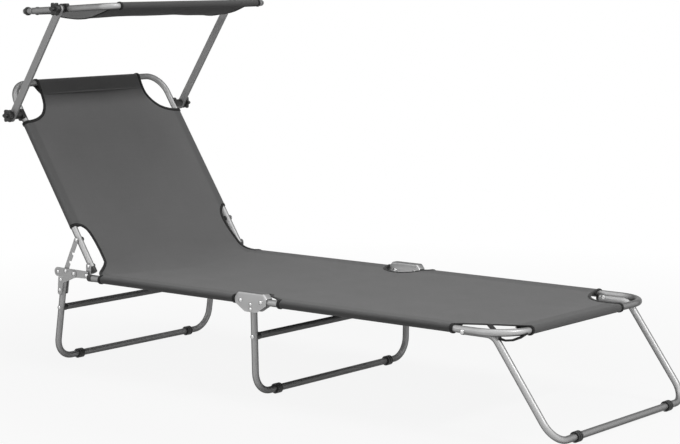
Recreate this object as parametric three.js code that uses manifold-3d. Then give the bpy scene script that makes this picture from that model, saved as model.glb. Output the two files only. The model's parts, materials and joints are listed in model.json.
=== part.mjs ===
// Sun lounger with a tilting canopy. All sizes are in millimetres.
// X runs from the head end to the foot end, Y across the bed, Z up from the floor.
// X = 0 is the middle leg while the parts are being built.

import * as THREE from 'three';
import { mergeVertices } from 'three/addons/utils/BufferGeometryUtils.js';
import Module from 'manifold-3d';

// Tube, plate and pin stock
const tubeRadius = 8;
const tubeWall = 1.2;
const boreRadius = tubeRadius - tubeWall;
const plateThickness = 2;
const pinRadius = 3;
const headRadius = 5.2;
const headHeight = 1.6;
const rivetRadius = 2.4;
const clearance = 0.3;
const overlap = 0.5;
const pinHoleRadius = pinRadius + clearance;
const rivetHoleRadius = rivetRadius + 2 * clearance;

// Facets of round parts
const tubeSides = 12;
const boreSides = 6;
const pinSides = 8;
const rivetSides = 6;
const bendSteps = 5;
const edgeSteps = 2;
const stemRadius = boreRadius * Math.cos(Math.PI / boreSides) - clearance;

// Cloth covers
const clothThickness = 0.8;
const sleeveGap = 0.4;
const sleeveInner = tubeRadius + sleeveGap;
const sleeveOuter = sleeveInner + clothThickness;
const bedSag = 8;
const panelRows = 8;

// Bed frame
const railSpread = 290;
const railHeight = 228;
const foldReach = 30.5;
const stubReach = 10.5;
const footEnd = 700;
const footBendRadius = 80;

// Middle bracket
const bracketHalfLength = 46.5;
const bracketTopHalf = 38;
const bracketFootHalf = 18;
const bracketTop = 20;
const bracketShoulder = 9;
const bracketSkirt = -7;
const bracketBottom = -25;
const bracketWall = 1.6;
const bracketChannel = 9.6;
const bracketRivetHeights = [-7, -18];

// Legs
const floorTubeHeight = 12;
const footCapRadius = 12;
const footCapLength = 18;
const middleCrossbarDrop = 83;
const rearCrossbarDrop = 86;
const crossbarCapLength = 7;
const crossbarCapRadius = 8.8;

const middleLegRise = 12;
const middleLegTop = railHeight + middleLegRise;
const middleLegInset = 6;
const middleLegSpread = railSpread - middleLegInset;
const middleLegBendRadius = 50;
const middleCapInset = 74;
const middleCapSpread = middleLegSpread - middleCapInset;

const footLegGap = 3;
const footLegSpread = railSpread - 2 * tubeRadius - footLegGap;
const footLegTopX = 573;
const footLegDrop = 7;
const footLegRun = railHeight - footLegDrop;
const footLegKneeX = 650;
const footLegKneeBendRadius = 34;
const footLegFloorX = 803;
const footLegBendRadius = 48;
const footLegPivotX = 588;
const footLegPivotDrop = 3.5;
const footLegPivotHeight = railHeight - footLegPivotDrop;
const footCapInset = 84;
const footCapSpread = footLegSpread - footCapInset;

// Rear hinge plates, placed from the hinge pin and the rail line
const hingeX = -548;
const hingeRise = 27;
const hingeHeight = railHeight + hingeRise;
const backrestInset = 19;
const backrestSpread = railSpread - backrestInset;
const hingeInnerFace = backrestSpread + tubeRadius + 2 * clearance;
const hingeArmInset = 4.5;
const hingeArmFace = railSpread - hingeArmInset;
const hingeFront = 46;
const hingeArmFront = 3;
const hingeArmRear = -103;
const hingeArmTopRise = 15;
const hingeArmBottomRise = -3;
const hingeArmRearRise = 5;
const hingeArmRearRadius = 11.5;
const hingeStrapHalf = 7;
const hingeUprightHalf = 8;
const hingeJoinRear = -3.5;
const hingeJoinRise = 4;
const hingeRivetXs = [40, 29].map((step) => hingeX + step);
const railRearStep = 15;
const seatRailRear = hingeX + railRearStep;

// Rear leg, its bracket and its fold pivot, placed from the hinge pin and the rail line
const rearLegInset = 13;
const rearLegSpread = railSpread - rearLegInset;
const rearLegSetback = 90;
const rearLegFootSetback = 33.7;
const rearLegDrop = 6;
const rearLegTopX = hingeX - rearLegSetback;
const rearLegFloorX = rearLegTopX - rearLegFootSetback;
const rearLegTop = railHeight - rearLegDrop;
const rearLegBendRadius = 50;
const rearCapInset = 78;
const rearCapSpread = rearLegSpread - rearCapInset;
const linkPivotSetback = 45;
const linkPivotRise = 5;
const linkPivotX = hingeX - linkPivotSetback;
const linkPivotHeight = railHeight + linkPivotRise;
const linkFace = hingeArmFace + plateThickness + clearance;
const linkHalfWidth = 8;
const linkTabHalf = 5;
const linkRivetDrops = [14, 40];
const linkInnerFace = rearLegSpread - tubeRadius - 2 * clearance;
const linkTabDrop = 52;

// Backrest and its notched props
const backrestAngle = 56.7;
const backrestLength = 520;
const backrestTail = 14;
const backrestBendRadius = 53;
const propPivotAlong = 74;
const propAngle = 63.8;
const propGap = 1;
const propFace = hingeInnerFace + propGap;
const propThickness = 1.8;
const propLength = 96;
const propHalfWidth = 7;
const propNotches = [37.4, 61.8, 87];
const notchDepth = 4;
const notchRadius = 3.5;

// Canopy, its arms, clamps and knobs
const armStep = 11;
const armFace = railSpread + armStep;
const armThickness = 6;
const armHalfWidth = 10;
const armPivotSetback = 88;
const armPivotAlong = backrestLength - armPivotSetback;
const armLength = 320;
const armTail = 17;
const armAngle = 56.4;
const clampHalfLength = 13;
const clampHalfWidth = 10.5;
const clampBossRadius = 10;
const knobRadius = 16;
const knobLobe = 2.4;
const knobLobes = 6;
const knobHeight = 10;
const knobHubRadius = 9;
const knobHubHeight = 2.5;
const knobStubRadius = 4;
const knobStubHeight = 6;
const canopyInset = 7;
const canopySpread = railSpread - canopyInset;
const canopyRear = -139;
const canopyFront = 150;
const canopyBendRadius = 30;
const canopyTiltAngle = 3.1;
const canopySag = 33;
const canopySleeveInset = 32;
const canopySleeveEnd = canopySpread - canopySleeveInset;
const spigotHalf = 32;

// Where the covers start, end and are cut away
const seatCoverStep = 26;
const seatSleeveStep = 52;
const seatCoverRear = hingeX + seatCoverStep;
const seatSleeve = [hingeX + seatSleeveStep, -52];
const footSleeve = [78, 562];
const coverFold = 30.5;
const coverFoldGap = 0.15;
const archDepth = 55;
const footSleeveInset = 105;
const footSleeveEnd = railSpread - footSleeveInset;
const backSleeveStart = 108;
const backSleeveSetback = 112;
const backSleeve = [backSleeveStart, backrestLength - backSleeveSetback];
const backSleeveInset = 86;
const backTopSleeveEnd = backrestSpread - backSleeveInset;
const backArchInset = 42;
const backArchInner = backrestSpread - backArchInset;
const backCoverTail = -18;

const wasm = await Module();
wasm.setup();

// Materials
const steel = new THREE.MeshStandardMaterial({ color: 0xc3c7ca, roughness: 0.35, metalness: 1 });
const plate = new THREE.MeshStandardMaterial({ color: 0xaeb2b6, roughness: 0.45, metalness: 1 });
const plastic = new THREE.MeshStandardMaterial({ color: 0x17181a, roughness: 0.55, metalness: 0 });
const cloth = new THREE.MeshStandardMaterial({ color: 0x4a4c50, roughness: 0.95, metalness: 0 });

const lounger = new THREE.Group();
lounger.name = 'sun_lounger';

function add(name, geometry, material) {
  const mesh = new THREE.Mesh(geometry, material);
  mesh.name = name;
  lounger.add(mesh);
}

// A part on the left side (Y positive) and its mirror image on the right side
function addPair(name, geometry, material) {
  add(`${name}_left`, geometry, material);
  const mirror = new THREE.Mesh(geometry, material);
  mirror.name = `${name}_right`;
  mirror.scale.y = -1;
  lounger.add(mirror);
}

function solidOf(geometry) {
  const bare = geometry.clone();
  bare.deleteAttribute('normal');
  bare.deleteAttribute('uv');
  const merged = mergeVertices(bare, 1e-4);
  const mesh = new wasm.Mesh({
    numProp: 3,
    vertProperties: new Float32Array(merged.attributes.position.array),
    triVerts: new Uint32Array(merged.index.array),
  });
  mesh.merge();
  return new wasm.Manifold(mesh);
}

function geometryOf(solid) {
  const mesh = solid.getMesh();
  const geometry = new THREE.BufferGeometry();
  geometry.setAttribute('position', new THREE.BufferAttribute(new Float32Array(mesh.vertProperties), 3));
  geometry.setIndex(new THREE.BufferAttribute(new Uint32Array(mesh.triVerts), 1));
  geometry.computeVertexNormals();
  return geometry;
}

function joined(...geometries) {
  return geometryOf(geometries.map(solidOf).reduce((sum, next) => sum.add(next)));
}

function cut(geometry, ...tools) {
  return geometryOf(tools.map(solidOf).reduce((rest, tool) => rest.subtract(tool), solidOf(geometry)));
}

// Corner points with bend radii turned into stations with their tangents
function stationsOf(corners, quarterSteps = bendSteps) {
  const stations = [];
  corners.forEach((corner, i) => {
    if (!corner.bend) {
      const next = corners[i + 1] ?? corner;
      const before = corners[i + 1] ? corner : corners[i - 1];
      stations.push({ point: corner.at, tangent: next.at.clone().sub(before.at).normalize() });
      return;
    }
    const arriving = corner.at.clone().sub(corners[i - 1].at).normalize();
    const leaving = corners[i + 1].at.clone().sub(corner.at).normalize();
    const turn = arriving.angleTo(leaving);
    const setback = corner.bend * Math.tan(turn / 2);
    const inward = leaving.clone().sub(arriving).normalize();
    const centre = corner.at.clone().addScaledVector(inward, corner.bend / Math.cos(turn / 2));
    const axis = arriving.clone().cross(leaving).normalize();
    const start = corner.at.clone().addScaledVector(arriving, -setback).sub(centre);
    const steps = Math.max(1, Math.round((quarterSteps * turn * 2) / Math.PI));
    for (let step = 0; step <= steps; step += 1) {
      const angle = (turn * step) / steps;
      stations.push({
        point: start.clone().applyAxisAngle(axis, angle).add(centre),
        tangent: arriving.clone().applyAxisAngle(axis, angle),
      });
    }
  });
  return stations;
}

class BentPath extends THREE.Curve {
  constructor(stations) {
    super();
    this.stations = stations;
  }

  stationAt(share) {
    return this.stations[Math.round(share * (this.stations.length - 1))];
  }

  getPoint(share) {
    return this.stationAt(share).point.clone();
  }

  getPointAt(share) {
    return this.getPoint(share);
  }

  getTangentAt(share, target = new THREE.Vector3()) {
    return target.copy(this.stationAt(share).tangent);
  }
}

function ringPoints(radius, sides) {
  const points = [];
  for (let side = 0; side < sides; side += 1) {
    const angle = (2 * Math.PI * (side + 0.5)) / sides;
    points.push(new THREE.Vector2(radius * Math.cos(angle), radius * Math.sin(angle)));
  }
  return points;
}

function tube(corners, outer = tubeRadius, inner = boreRadius, innerSides = boreSides) {
  const stations = stationsOf(corners);
  const ring = new THREE.Shape(ringPoints(outer, tubeSides));
  ring.holes.push(new THREE.Path(ringPoints(inner, innerSides)));
  return new THREE.ExtrudeGeometry(ring, {
    steps: stations.length - 1,
    extrudePath: new BentPath(stations),
    bevelEnabled: false,
  });
}

function sleeve(from, to) {
  return tube([{ at: from }, { at: to }], sleeveOuter, sleeveInner, tubeSides);
}

function corner(x, y, z, bend = 0) {
  return { at: new THREE.Vector3(x, y, z), bend };
}

// Left half of a U-shaped tube continued to its mirror image
function uTube(half) {
  const rest = half.map(({ at, bend }) => corner(at.x, -at.y, at.z, bend)).reverse();
  return tube([...half, ...rest]);
}

// Round bar across the bed, from one Y to another
function rod(radius, x, z, fromY, toY, sides = pinSides) {
  const geometry = new THREE.CylinderGeometry(radius, radius, toY - fromY, sides);
  return geometry.translate(x, (fromY + toY) / 2, z);
}

function rodAlong(radius, fromX, toX, y, z, sides = pinSides) {
  const geometry = new THREE.CylinderGeometry(radius, radius, toX - fromX, sides);
  return geometry.rotateZ(-Math.PI / 2).translate((fromX + toX) / 2, y, z);
}

function box(fromX, toX, fromY, toY, fromZ, toZ) {
  const geometry = new THREE.BoxGeometry(toX - fromX, toY - fromY, toZ - fromZ);
  return geometry.translate((fromX + toX) / 2, (fromY + toY) / 2, (fromZ + toZ) / 2);
}

// Closed outline with rounded corners; a corner is [x, y, radius]
function outlineOf(corners) {
  const count = corners.length;
  const points = [];
  corners.forEach(([x, y, radius], i) => {
    if (!radius) {
      points.push(new THREE.Vector2(x, y));
      return;
    }
    const [beforeX, beforeY] = corners[(i + count - 1) % count];
    const [afterX, afterY] = corners[(i + 1) % count];
    const ends = [corner(beforeX, beforeY, 0), corner(afterX, afterY, 0)];
    const stations = stationsOf([ends[0], corner(x, y, 0, radius), ends[1]], edgeSteps);
    stations.slice(1, -1).forEach(({ point }) => points.push(new THREE.Vector2(point.x, point.y)));
  });
  return points;
}

function holePath(x, z, radius) {
  return new THREE.Path(ringPoints(radius, pinSides).map((point) => point.add(new THREE.Vector2(x, z))));
}

// Flat plate standing lengthwise, cut to an outline in X and Z
function sidePlate(corners, face, thickness, holes = []) {
  const shape = new THREE.Shape(outlineOf(corners));
  holes.forEach(([x, z, radius]) => shape.holes.push(holePath(x, z, radius)));
  const geometry = new THREE.ExtrudeGeometry(shape, { depth: thickness, bevelEnabled: false });
  return geometry.rotateX(Math.PI / 2).translate(0, face + thickness, 0);
}

// Upright cutter with an outline in X and Y, for the arches in the covers
function cutter(corners, fromZ, toZ) {
  const shape = new THREE.Shape(outlineOf(corners));
  const geometry = new THREE.ExtrudeGeometry(shape, { depth: toZ - fromZ, bevelEnabled: false });
  return geometry.translate(0, 0, fromZ);
}

function mirrored(corners) {
  return corners.map(([x, y, radius]) => [x, -y, radius]).reverse();
}

function pose(x, z, degrees) {
  const matrix = new THREE.Matrix4().makeRotationY((degrees * Math.PI) / 180);
  return matrix.setPosition(x, 0, z);
}

function pointOn(matrix, x, z) {
  return new THREE.Vector3(x, 0, z).applyMatrix4(matrix);
}

// Headed pin across the bed: head, shank, head
function headedPin(x, z, fromY, toY) {
  return joined(
    rod(pinRadius, x, z, fromY - overlap, toY + overlap),
    rod(headRadius, x, z, fromY - headHeight, fromY),
    rod(headRadius, x, z, toY, toY + headHeight),
  );
}

// Push-in tube plug on the X axis, its flange towards the given side
function endPlug(endX, y, z, side) {
  const flange = 5;
  const stem = 10;
  const edge = 1.2;
  const profile = [
    new THREE.Vector2(0, -stem),
    new THREE.Vector2(stemRadius, -stem),
    new THREE.Vector2(stemRadius, clearance),
    new THREE.Vector2(tubeRadius, clearance),
    new THREE.Vector2(tubeRadius, flange - edge),
    new THREE.Vector2(tubeRadius - edge, flange),
    new THREE.Vector2(0, flange),
  ];
  const plug = new THREE.LatheGeometry(profile, tubeSides);
  return plug.rotateZ((-side * Math.PI) / 2).translate(endX, y, z);
}

// Ribbed plastic foot round a floor tube
function footCap(x, spread) {
  const rib = 1.2;
  const half = footCapLength / 2;
  const inner = (tubeRadius + clearance) / Math.cos(Math.PI / tubeSides);
  const profile = [
    new THREE.Vector2(inner, -half),
    new THREE.Vector2(footCapRadius - rib, -half),
    new THREE.Vector2(footCapRadius, rib - half),
    new THREE.Vector2(footCapRadius, half - rib),
    new THREE.Vector2(footCapRadius - rib, half),
    new THREE.Vector2(inner, half),
    new THREE.Vector2(inner, -half),
  ];
  const cap = new THREE.LatheGeometry(profile, tubeSides);
  return cap.translate(x, spread, floorTubeHeight);
}

// Thin closed sheet over a grid; the height function gives its lower face
function sheet(xs, ys, heightAt, thickness = clothThickness) {
  const positions = [];
  const indices = [];
  const columns = ys.length;
  for (const lift of [0, thickness]) {
    xs.forEach((x) => ys.forEach((y) => positions.push(x, y, heightAt(x, y) + lift)));
  }
  const top = xs.length * columns;
  const quad = (a, b, c, d) => indices.push(a, b, c, a, c, d);
  for (let i = 0; i + 1 < xs.length; i += 1) {
    for (let j = 0; j + 1 < columns; j += 1) {
      const low = i * columns + j;
      quad(top + low, top + low + columns, top + low + columns + 1, top + low + 1);
      quad(low, low + 1, low + columns + 1, low + columns);
    }
    const first = i * columns;
    const last = first + columns - 1;
    quad(first, first + columns, top + first + columns, top + first);
    quad(last, top + last, top + last + columns, last + columns);
  }
  for (let j = 0; j + 1 < columns; j += 1) {
    const far = (xs.length - 1) * columns + j;
    quad(j, top + j, top + j + 1, j + 1);
    quad(far, far + 1, top + far + 1, top + far);
  }
  const geometry = new THREE.BufferGeometry();
  geometry.setAttribute('position', new THREE.Float32BufferAttribute(positions, 3));
  geometry.setIndex(indices);
  return geometry;
}

function evenly(from, to, count) {
  return Array.from({ length: count + 1 }, (_, i) => from + ((to - from) * i) / count);
}

const backrestPose = pose(hingeX, hingeHeight, backrestAngle);
const propPivot = pointOn(backrestPose, -propPivotAlong, 0);
const propPose = pose(propPivot.x, propPivot.z, -propAngle);
const ratchet = pointOn(propPose, -propNotches[propNotches.length - 1], -notchDepth);
const armPivot = pointOn(backrestPose, -armPivotAlong, 0);
const armPose = pose(armPivot.x, armPivot.z, -armAngle);
const canopyPivot = pointOn(armPose, armLength, 0);
const canopyPose = pose(canopyPivot.x, canopyPivot.z, -canopyTiltAngle);

// Seat rails, drilled for the bracket pin and the blind rivets of the hinge plate
function seatRail() {
  const rail = tube([
    corner(seatRailRear, railSpread, railHeight),
    corner(stubReach - foldReach, railSpread, railHeight),
  ]);
  const inside = railSpread - tubeRadius - clearance;
  const outside = railSpread + tubeRadius + clearance;
  const hole = (x) => rod(rivetHoleRadius, x, railHeight, inside, railSpread, rivetSides);
  const rivets = hingeRivetXs.map(hole);
  return cut(rail, rod(pinHoleRadius, -foldReach, railHeight, inside, outside), ...rivets);
}

// Hinge plate: a strap on the rail with an upright for the backrest pin, and an outer arm
function hingePlate() {
  const strapFrontRadius = 5;
  const uprightTop = hingeHeight + hingeUprightHalf;
  const strap = sidePlate(
    [
      [hingeX + hingeFront, railHeight - hingeStrapHalf, strapFrontRadius],
      [hingeX + hingeFront, railHeight + hingeStrapHalf, strapFrontRadius],
      [hingeX + hingeUprightHalf, railHeight + hingeStrapHalf, strapFrontRadius],
      [hingeX + hingeUprightHalf, uprightTop, hingeUprightHalf - clearance],
      [hingeX - hingeUprightHalf, uprightTop, hingeUprightHalf - clearance],
      [hingeX - hingeUprightHalf, railHeight - hingeStrapHalf, strapFrontRadius],
    ],
    hingeInnerFace,
    plateThickness,
    [[hingeX, hingeHeight, pinHoleRadius]],
  );
  const rearRound = hingeArmRearRadius - clearance;
  const studX = hingeX + hingeArmRear;
  const studHeight = railHeight + hingeArmRearRise;
  const arm = sidePlate(
    [
      [hingeX + hingeArmFront, railHeight + hingeArmBottomRise, strapFrontRadius],
      [hingeX + hingeArmFront, railHeight + hingeArmTopRise, strapFrontRadius],
      [studX - hingeArmRearRadius, studHeight + hingeArmRearRadius, rearRound],
      [studX - hingeArmRearRadius, studHeight - hingeArmRearRadius, rearRound],
    ],
    hingeArmFace,
    plateThickness,
    [
      [linkPivotX, linkPivotHeight, pinHoleRadius],
      [ratchet.x, ratchet.z, pinHoleRadius],
    ],
  );
  const strapOuter = hingeInnerFace + plateThickness;
  const armOuter = hingeArmFace + plateThickness;
  const headFrom = armOuter - overlap;
  const joinX = hingeX + hingeJoinRear;
  const joinHeight = railHeight + hingeJoinRise;
  const joinRivet = joined(
    rod(headRadius, joinX, joinHeight, strapOuter - overlap, hingeArmFace + overlap),
    rod(headRadius, joinX, joinHeight, headFrom, armOuter + headHeight),
  );
  const stopStud = rod(headRadius, studX, studHeight, headFrom, armOuter + headHeight);
  const rivetDepth = railSpread - boreRadius / 2;
  const rivets = hingeRivetXs.map((x) => joined(
    rod(rivetRadius, x, railHeight, hingeInnerFace - overlap, rivetDepth, rivetSides),
    rod(headRadius, x, railHeight, hingeInnerFace - headHeight, hingeInnerFace + overlap),
  ));
  return joined(strap, arm, joinRivet, stopStud, ...rivets);
}

// Middle bracket: a folded channel over both rail ends and the leg, with its rivets
function middleBracket() {
  const innerWall = railSpread - bracketChannel - bracketWall;
  const outerWall = railSpread + bracketChannel + bracketWall;
  const edgeRadius = 3;
  const half = [
    [bracketFootHalf, railHeight + bracketBottom, edgeRadius],
    [bracketHalfLength, railHeight + bracketSkirt, edgeRadius],
    [bracketHalfLength, railHeight + bracketShoulder, edgeRadius],
    [bracketTopHalf, railHeight + bracketTop, edgeRadius],
  ];
  const rest = half.map(([x, z, radius]) => [-x, z, radius]).reverse();
  const block = sidePlate([...half, ...rest], innerWall, outerWall - innerWall);
  const channel = box(
    -bracketHalfLength - overlap,
    bracketHalfLength + overlap,
    railSpread - bracketChannel,
    railSpread + bracketChannel,
    railHeight + bracketBottom - overlap,
    railHeight + bracketTop - bracketWall,
  );
  const pins = [-foldReach, foldReach].map((x) => headedPin(x, railHeight, innerWall, outerWall));
  const rivets = bracketRivetHeights.map((drop) => joined(
    rod(rivetRadius, 0, railHeight + drop, innerWall, outerWall, rivetSides),
    rod(headRadius, 0, railHeight + drop, innerWall - headHeight, innerWall + overlap),
    rod(headRadius, 0, railHeight + drop, outerWall - overlap, outerWall + headHeight),
  ));
  return joined(cut(block, channel), ...pins, ...rivets);
}

// Screw hole through both legs for a crossbar, and the leg line at its height
function legPointAt(top, floor, height) {
  return top.clone().lerp(floor, (top.z - height) / (top.z - floor.z));
}

const middleLegTopPoint = new THREE.Vector3(0, railSpread, middleLegTop);
const middleLegFloorPoint = new THREE.Vector3(0, middleLegSpread, floorTubeHeight);
const rearLegTopPoint = new THREE.Vector3(rearLegTopX, rearLegSpread, rearLegTop);
const rearLegFloorPoint = new THREE.Vector3(rearLegFloorX, rearLegSpread, floorTubeHeight);
const middleScrew = legPointAt(middleLegTopPoint, middleLegFloorPoint, railHeight - middleCrossbarDrop);
const rearScrew = legPointAt(rearLegTopPoint, rearLegFloorPoint, railHeight - rearCrossbarDrop);

function mirroredTool(geometry) {
  const copy = geometry.clone().scale(1, -1, 1);
  const index = copy.index.array;
  for (let i = 0; i < index.length; i += 3) {
    [index[i], index[i + 1]] = [index[i + 1], index[i]];
  }
  return copy;
}

function cutBothSides(geometry, ...tools) {
  return cut(geometry, ...tools, ...tools.map(mirroredTool));
}

function floorLeg(topPoint, floorPoint, bend, screw, drill) {
  const leg = uTube([
    corner(topPoint.x, topPoint.y, topPoint.z),
    corner(floorPoint.x, floorPoint.y, floorPoint.z, bend),
  ]);
  const inside = screw.y - 2 * tubeRadius;
  const outside = screw.y + 2 * tubeRadius;
  const screwHole = rod(rivetHoleRadius, screw.x, screw.z, inside, outside, rivetSides);
  return cutBothSides(leg, screwHole, ...drill);
}

function middleLeg() {
  const reach = 2 * tubeRadius;
  const holes = bracketRivetHeights.map((drop) => rod(
    rivetHoleRadius,
    0,
    railHeight + drop,
    railSpread - reach,
    railSpread + reach,
    rivetSides,
  ));
  return floorLeg(middleLegTopPoint, middleLegFloorPoint, middleLegBendRadius, middleScrew, holes);
}

function rearLegRivetPoints() {
  return linkRivetDrops.map((drop) => legPointAt(rearLegTopPoint, rearLegFloorPoint, railHeight - drop));
}

function rearLeg() {
  const reach = 2 * tubeRadius;
  const holes = rearLegRivetPoints().map((point) => rod(
    rivetHoleRadius,
    point.x,
    point.z,
    rearLegSpread - reach,
    rearLegSpread + reach,
    rivetSides,
  ));
  return floorLeg(rearLegTopPoint, rearLegFloorPoint, rearLegBendRadius, rearScrew, holes);
}

// Crossbar tube between the inner faces of two legs
function crossbarEnd(point) {
  return point.y - tubeRadius - crossbarCapLength;
}

function crossbar(point) {
  const end = crossbarEnd(point);
  return tube([corner(point.x, end, point.z), corner(point.x, -end, point.z)]);
}

// Saddle-ended crossbar cap with the screw that holds it through the leg
function crossbarCap(point, topPoint, floorPoint) {
  const end = crossbarEnd(point);
  const stem = 14;
  const saddle = tubeRadius + clearance;
  const body = joined(
    rod(crossbarCapRadius, point.x, point.z, end + clearance, point.y, tubeSides),
    rod(stemRadius, point.x, point.z, end - stem, end + 2 * clearance),
  );
  const along = floorPoint.clone().sub(topPoint).normalize();
  const legCopy = new THREE.CylinderGeometry(saddle, saddle, 8 * tubeRadius, tubeSides);
  legCopy.applyQuaternion(new THREE.Quaternion().setFromUnitVectors(new THREE.Vector3(0, -1, 0), along));
  legCopy.translate(point.x, point.y, point.z);
  const legFace = point.y + saddle;
  return joined(
    cut(body, legCopy),
    rod(rivetRadius, point.x, point.z, end + clearance + overlap, legFace + overlap, rivetSides),
    rod(headRadius, point.x, point.z, legFace, legFace + headHeight),
  );
}

// Foot section loop
function footFrame() {
  const frame = uTube([
    corner(foldReach - stubReach, railSpread, railHeight),
    corner(footEnd, railSpread, railHeight, footBendRadius),
  ]);
  const inside = railSpread - tubeRadius - clearance;
  const outside = railSpread + tubeRadius + clearance;
  return cutBothSides(
    frame,
    rod(pinHoleRadius, foldReach, railHeight, inside, outside),
    rod(pinHoleRadius, footLegPivotX, footLegPivotHeight, inside, outside),
  );
}

function footLeg() {
  const leg = uTube([
    corner(footLegTopX, footLegSpread, footLegRun),
    corner(footLegKneeX, footLegSpread, footLegRun, footLegKneeBendRadius),
    corner(footLegFloorX, footLegSpread, floorTubeHeight, footLegBendRadius),
  ]);
  const inside = footLegSpread - tubeRadius - clearance;
  const outside = footLegSpread + tubeRadius + clearance;
  return cutBothSides(leg, rod(pinHoleRadius, footLegPivotX, footLegPivotHeight, inside, outside));
}

function footLegPin() {
  const inside = footLegSpread - tubeRadius - clearance;
  const outside = railSpread + tubeRadius + clearance;
  return headedPin(footLegPivotX, footLegPivotHeight, inside, outside);
}

// Rear leg bracket: outer plate from the leg to its fold pivot, inner plate and two rivets
function rearLegBracket() {
  const [top, low] = rearLegRivetPoints();
  const tabBottom = legPointAt(rearLegTopPoint, rearLegFloorPoint, railHeight - linkTabDrop);
  const round = 6;
  const outer = sidePlate(
    [
      [tabBottom.x - linkTabHalf, tabBottom.z, round],
      [tabBottom.x + linkHalfWidth, tabBottom.z, round],
      [top.x + linkHalfWidth, top.z - linkHalfWidth, round],
      [linkPivotX + linkHalfWidth, linkPivotHeight - linkHalfWidth, round],
      [linkPivotX + linkHalfWidth, linkPivotHeight + linkHalfWidth, round],
      [linkPivotX - linkHalfWidth, linkPivotHeight + linkHalfWidth, round],
      [top.x - linkHalfWidth, top.z + linkHalfWidth, round],
    ],
    linkFace,
    plateThickness,
    [[linkPivotX, linkPivotHeight, pinHoleRadius]],
  );
  const innerWall = linkInnerFace - plateThickness;
  const inner = sidePlate(
    [
      [tabBottom.x - linkHalfWidth, tabBottom.z, round],
      [tabBottom.x + linkHalfWidth, tabBottom.z, round],
      [rearLegTopX + linkHalfWidth, rearLegTop, round],
      [rearLegTopX - linkHalfWidth, rearLegTop, round],
    ],
    innerWall,
    plateThickness,
  );
  const legFace = rearLegSpread + tubeRadius + clearance;
  const linkOuter = linkFace + plateThickness;
  const rivets = [top, low].map(({ x, z }) => joined(
    rod(rivetRadius, x, z, innerWall, linkOuter, rivetSides),
    rod(headRadius, x, z, innerWall - headHeight, innerWall + overlap),
    rod(headRadius, x, z, legFace, linkFace + overlap),
    rod(headRadius, x, z, linkOuter - overlap, linkOuter + headHeight),
  ));
  return joined(outer, inner, ...rivets);
}

function linkPin() {
  const outside = linkFace + plateThickness + clearance;
  return headedPin(linkPivotX, linkPivotHeight, hingeArmFace - clearance, outside);
}

// Backrest tube, drilled for the hinge pins and the prop pins; built flat, then raised
function backrestFrame() {
  const frame = uTube([
    corner(backrestTail, backrestSpread, 0),
    corner(-backrestLength, backrestSpread, 0, backrestBendRadius),
  ]);
  const inside = backrestSpread - tubeRadius - clearance;
  const outside = backrestSpread + tubeRadius + clearance;
  return cutBothSides(
    frame,
    rod(pinHoleRadius, 0, 0, inside, outside),
    rod(pinHoleRadius, -propPivotAlong, 0, inside, outside),
  ).applyMatrix4(backrestPose);
}

function backrestPin() {
  const inside = backrestSpread - tubeRadius - clearance;
  return headedPin(hingeX, hingeHeight, inside, hingeInnerFace + plateThickness + clearance);
}

function propPin() {
  const inside = backrestSpread - tubeRadius - clearance;
  return headedPin(propPivot.x, propPivot.z, inside, propFace + propThickness + clearance);
}

// Ratchet pin, riveted to the hinge arm and reaching inwards under the prop
function ratchetPin() {
  const armOuter = hingeArmFace + plateThickness;
  return joined(
    rod(pinRadius, ratchet.x, ratchet.z, propFace - clearance, armOuter + 2 * clearance),
    rod(headRadius, ratchet.x, ratchet.z, armOuter + clearance, armOuter + clearance + headHeight),
    rod(headRadius, ratchet.x, ratchet.z, propFace + propThickness + clearance, hingeArmFace - clearance),
  );
}

// Notched prop bar, built along X and turned to its angle
function prop() {
  const tipRadius = propHalfWidth - clearance;
  const bar = sidePlate(
    [
      [-propLength, -propHalfWidth, tipRadius / 2],
      [propHalfWidth, -propHalfWidth, tipRadius],
      [propHalfWidth, propHalfWidth, tipRadius],
      [-propLength, propHalfWidth, tipRadius],
    ],
    propFace,
    propThickness,
    [[0, 0, pinHoleRadius]],
  );
  const fromY = propFace - overlap;
  const toY = propFace + propThickness + overlap;
  const notches = propNotches.map((along) => joined(
    rod(notchRadius, -along, -notchDepth, fromY, toY),
    box(notchRadius * -1 - along, notchRadius - along, fromY, toY, -2 * propHalfWidth, -notchDepth),
  ));
  return cut(bar, ...notches).applyMatrix4(propPose);
}

// Plastic saddle on the outer half of a tube lying along X, with a boss for the knob bolt
function tubeClamp(spread, matrix) {
  const edge = 4;
  const block = sidePlate(
    [
      [-clampHalfLength, -clampHalfWidth, edge],
      [clampHalfLength, -clampHalfWidth, edge],
      [clampHalfLength, clampHalfWidth, edge],
      [-clampHalfLength, clampHalfWidth, edge],
    ],
    spread,
    clampHalfWidth,
  );
  const bossFrom = spread + clampHalfWidth - overlap;
  const boss = rod(clampBossRadius, 0, 0, bossFrom, armFace - clearance, tubeSides);
  const bore = rodAlong(
    (tubeRadius + clearance) / Math.cos(Math.PI / tubeSides),
    -2 * clampHalfLength,
    2 * clampHalfLength,
    spread,
    0,
    tubeSides,
  );
  const boltHole = rod(pinHoleRadius, 0, 0, spread + tubeRadius + plateThickness, armFace);
  return cut(joined(block, boss), bore, boltHole).applyMatrix4(matrix);
}

// Canopy arm: flat bar with a round end and a bolt hole at each pivot
function canopyArm() {
  const round = armHalfWidth - clearance;
  const arm = sidePlate(
    [
      [-armTail, -armHalfWidth, round],
      [armLength + armHalfWidth, -armHalfWidth, round],
      [armLength + armHalfWidth, armHalfWidth, round],
      [-armTail, armHalfWidth, round],
    ],
    armFace,
    armThickness,
    [
      [0, 0, pinHoleRadius],
      [armLength, 0, pinHoleRadius],
    ],
  );
  return arm.applyMatrix4(armPose);
}

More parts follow.
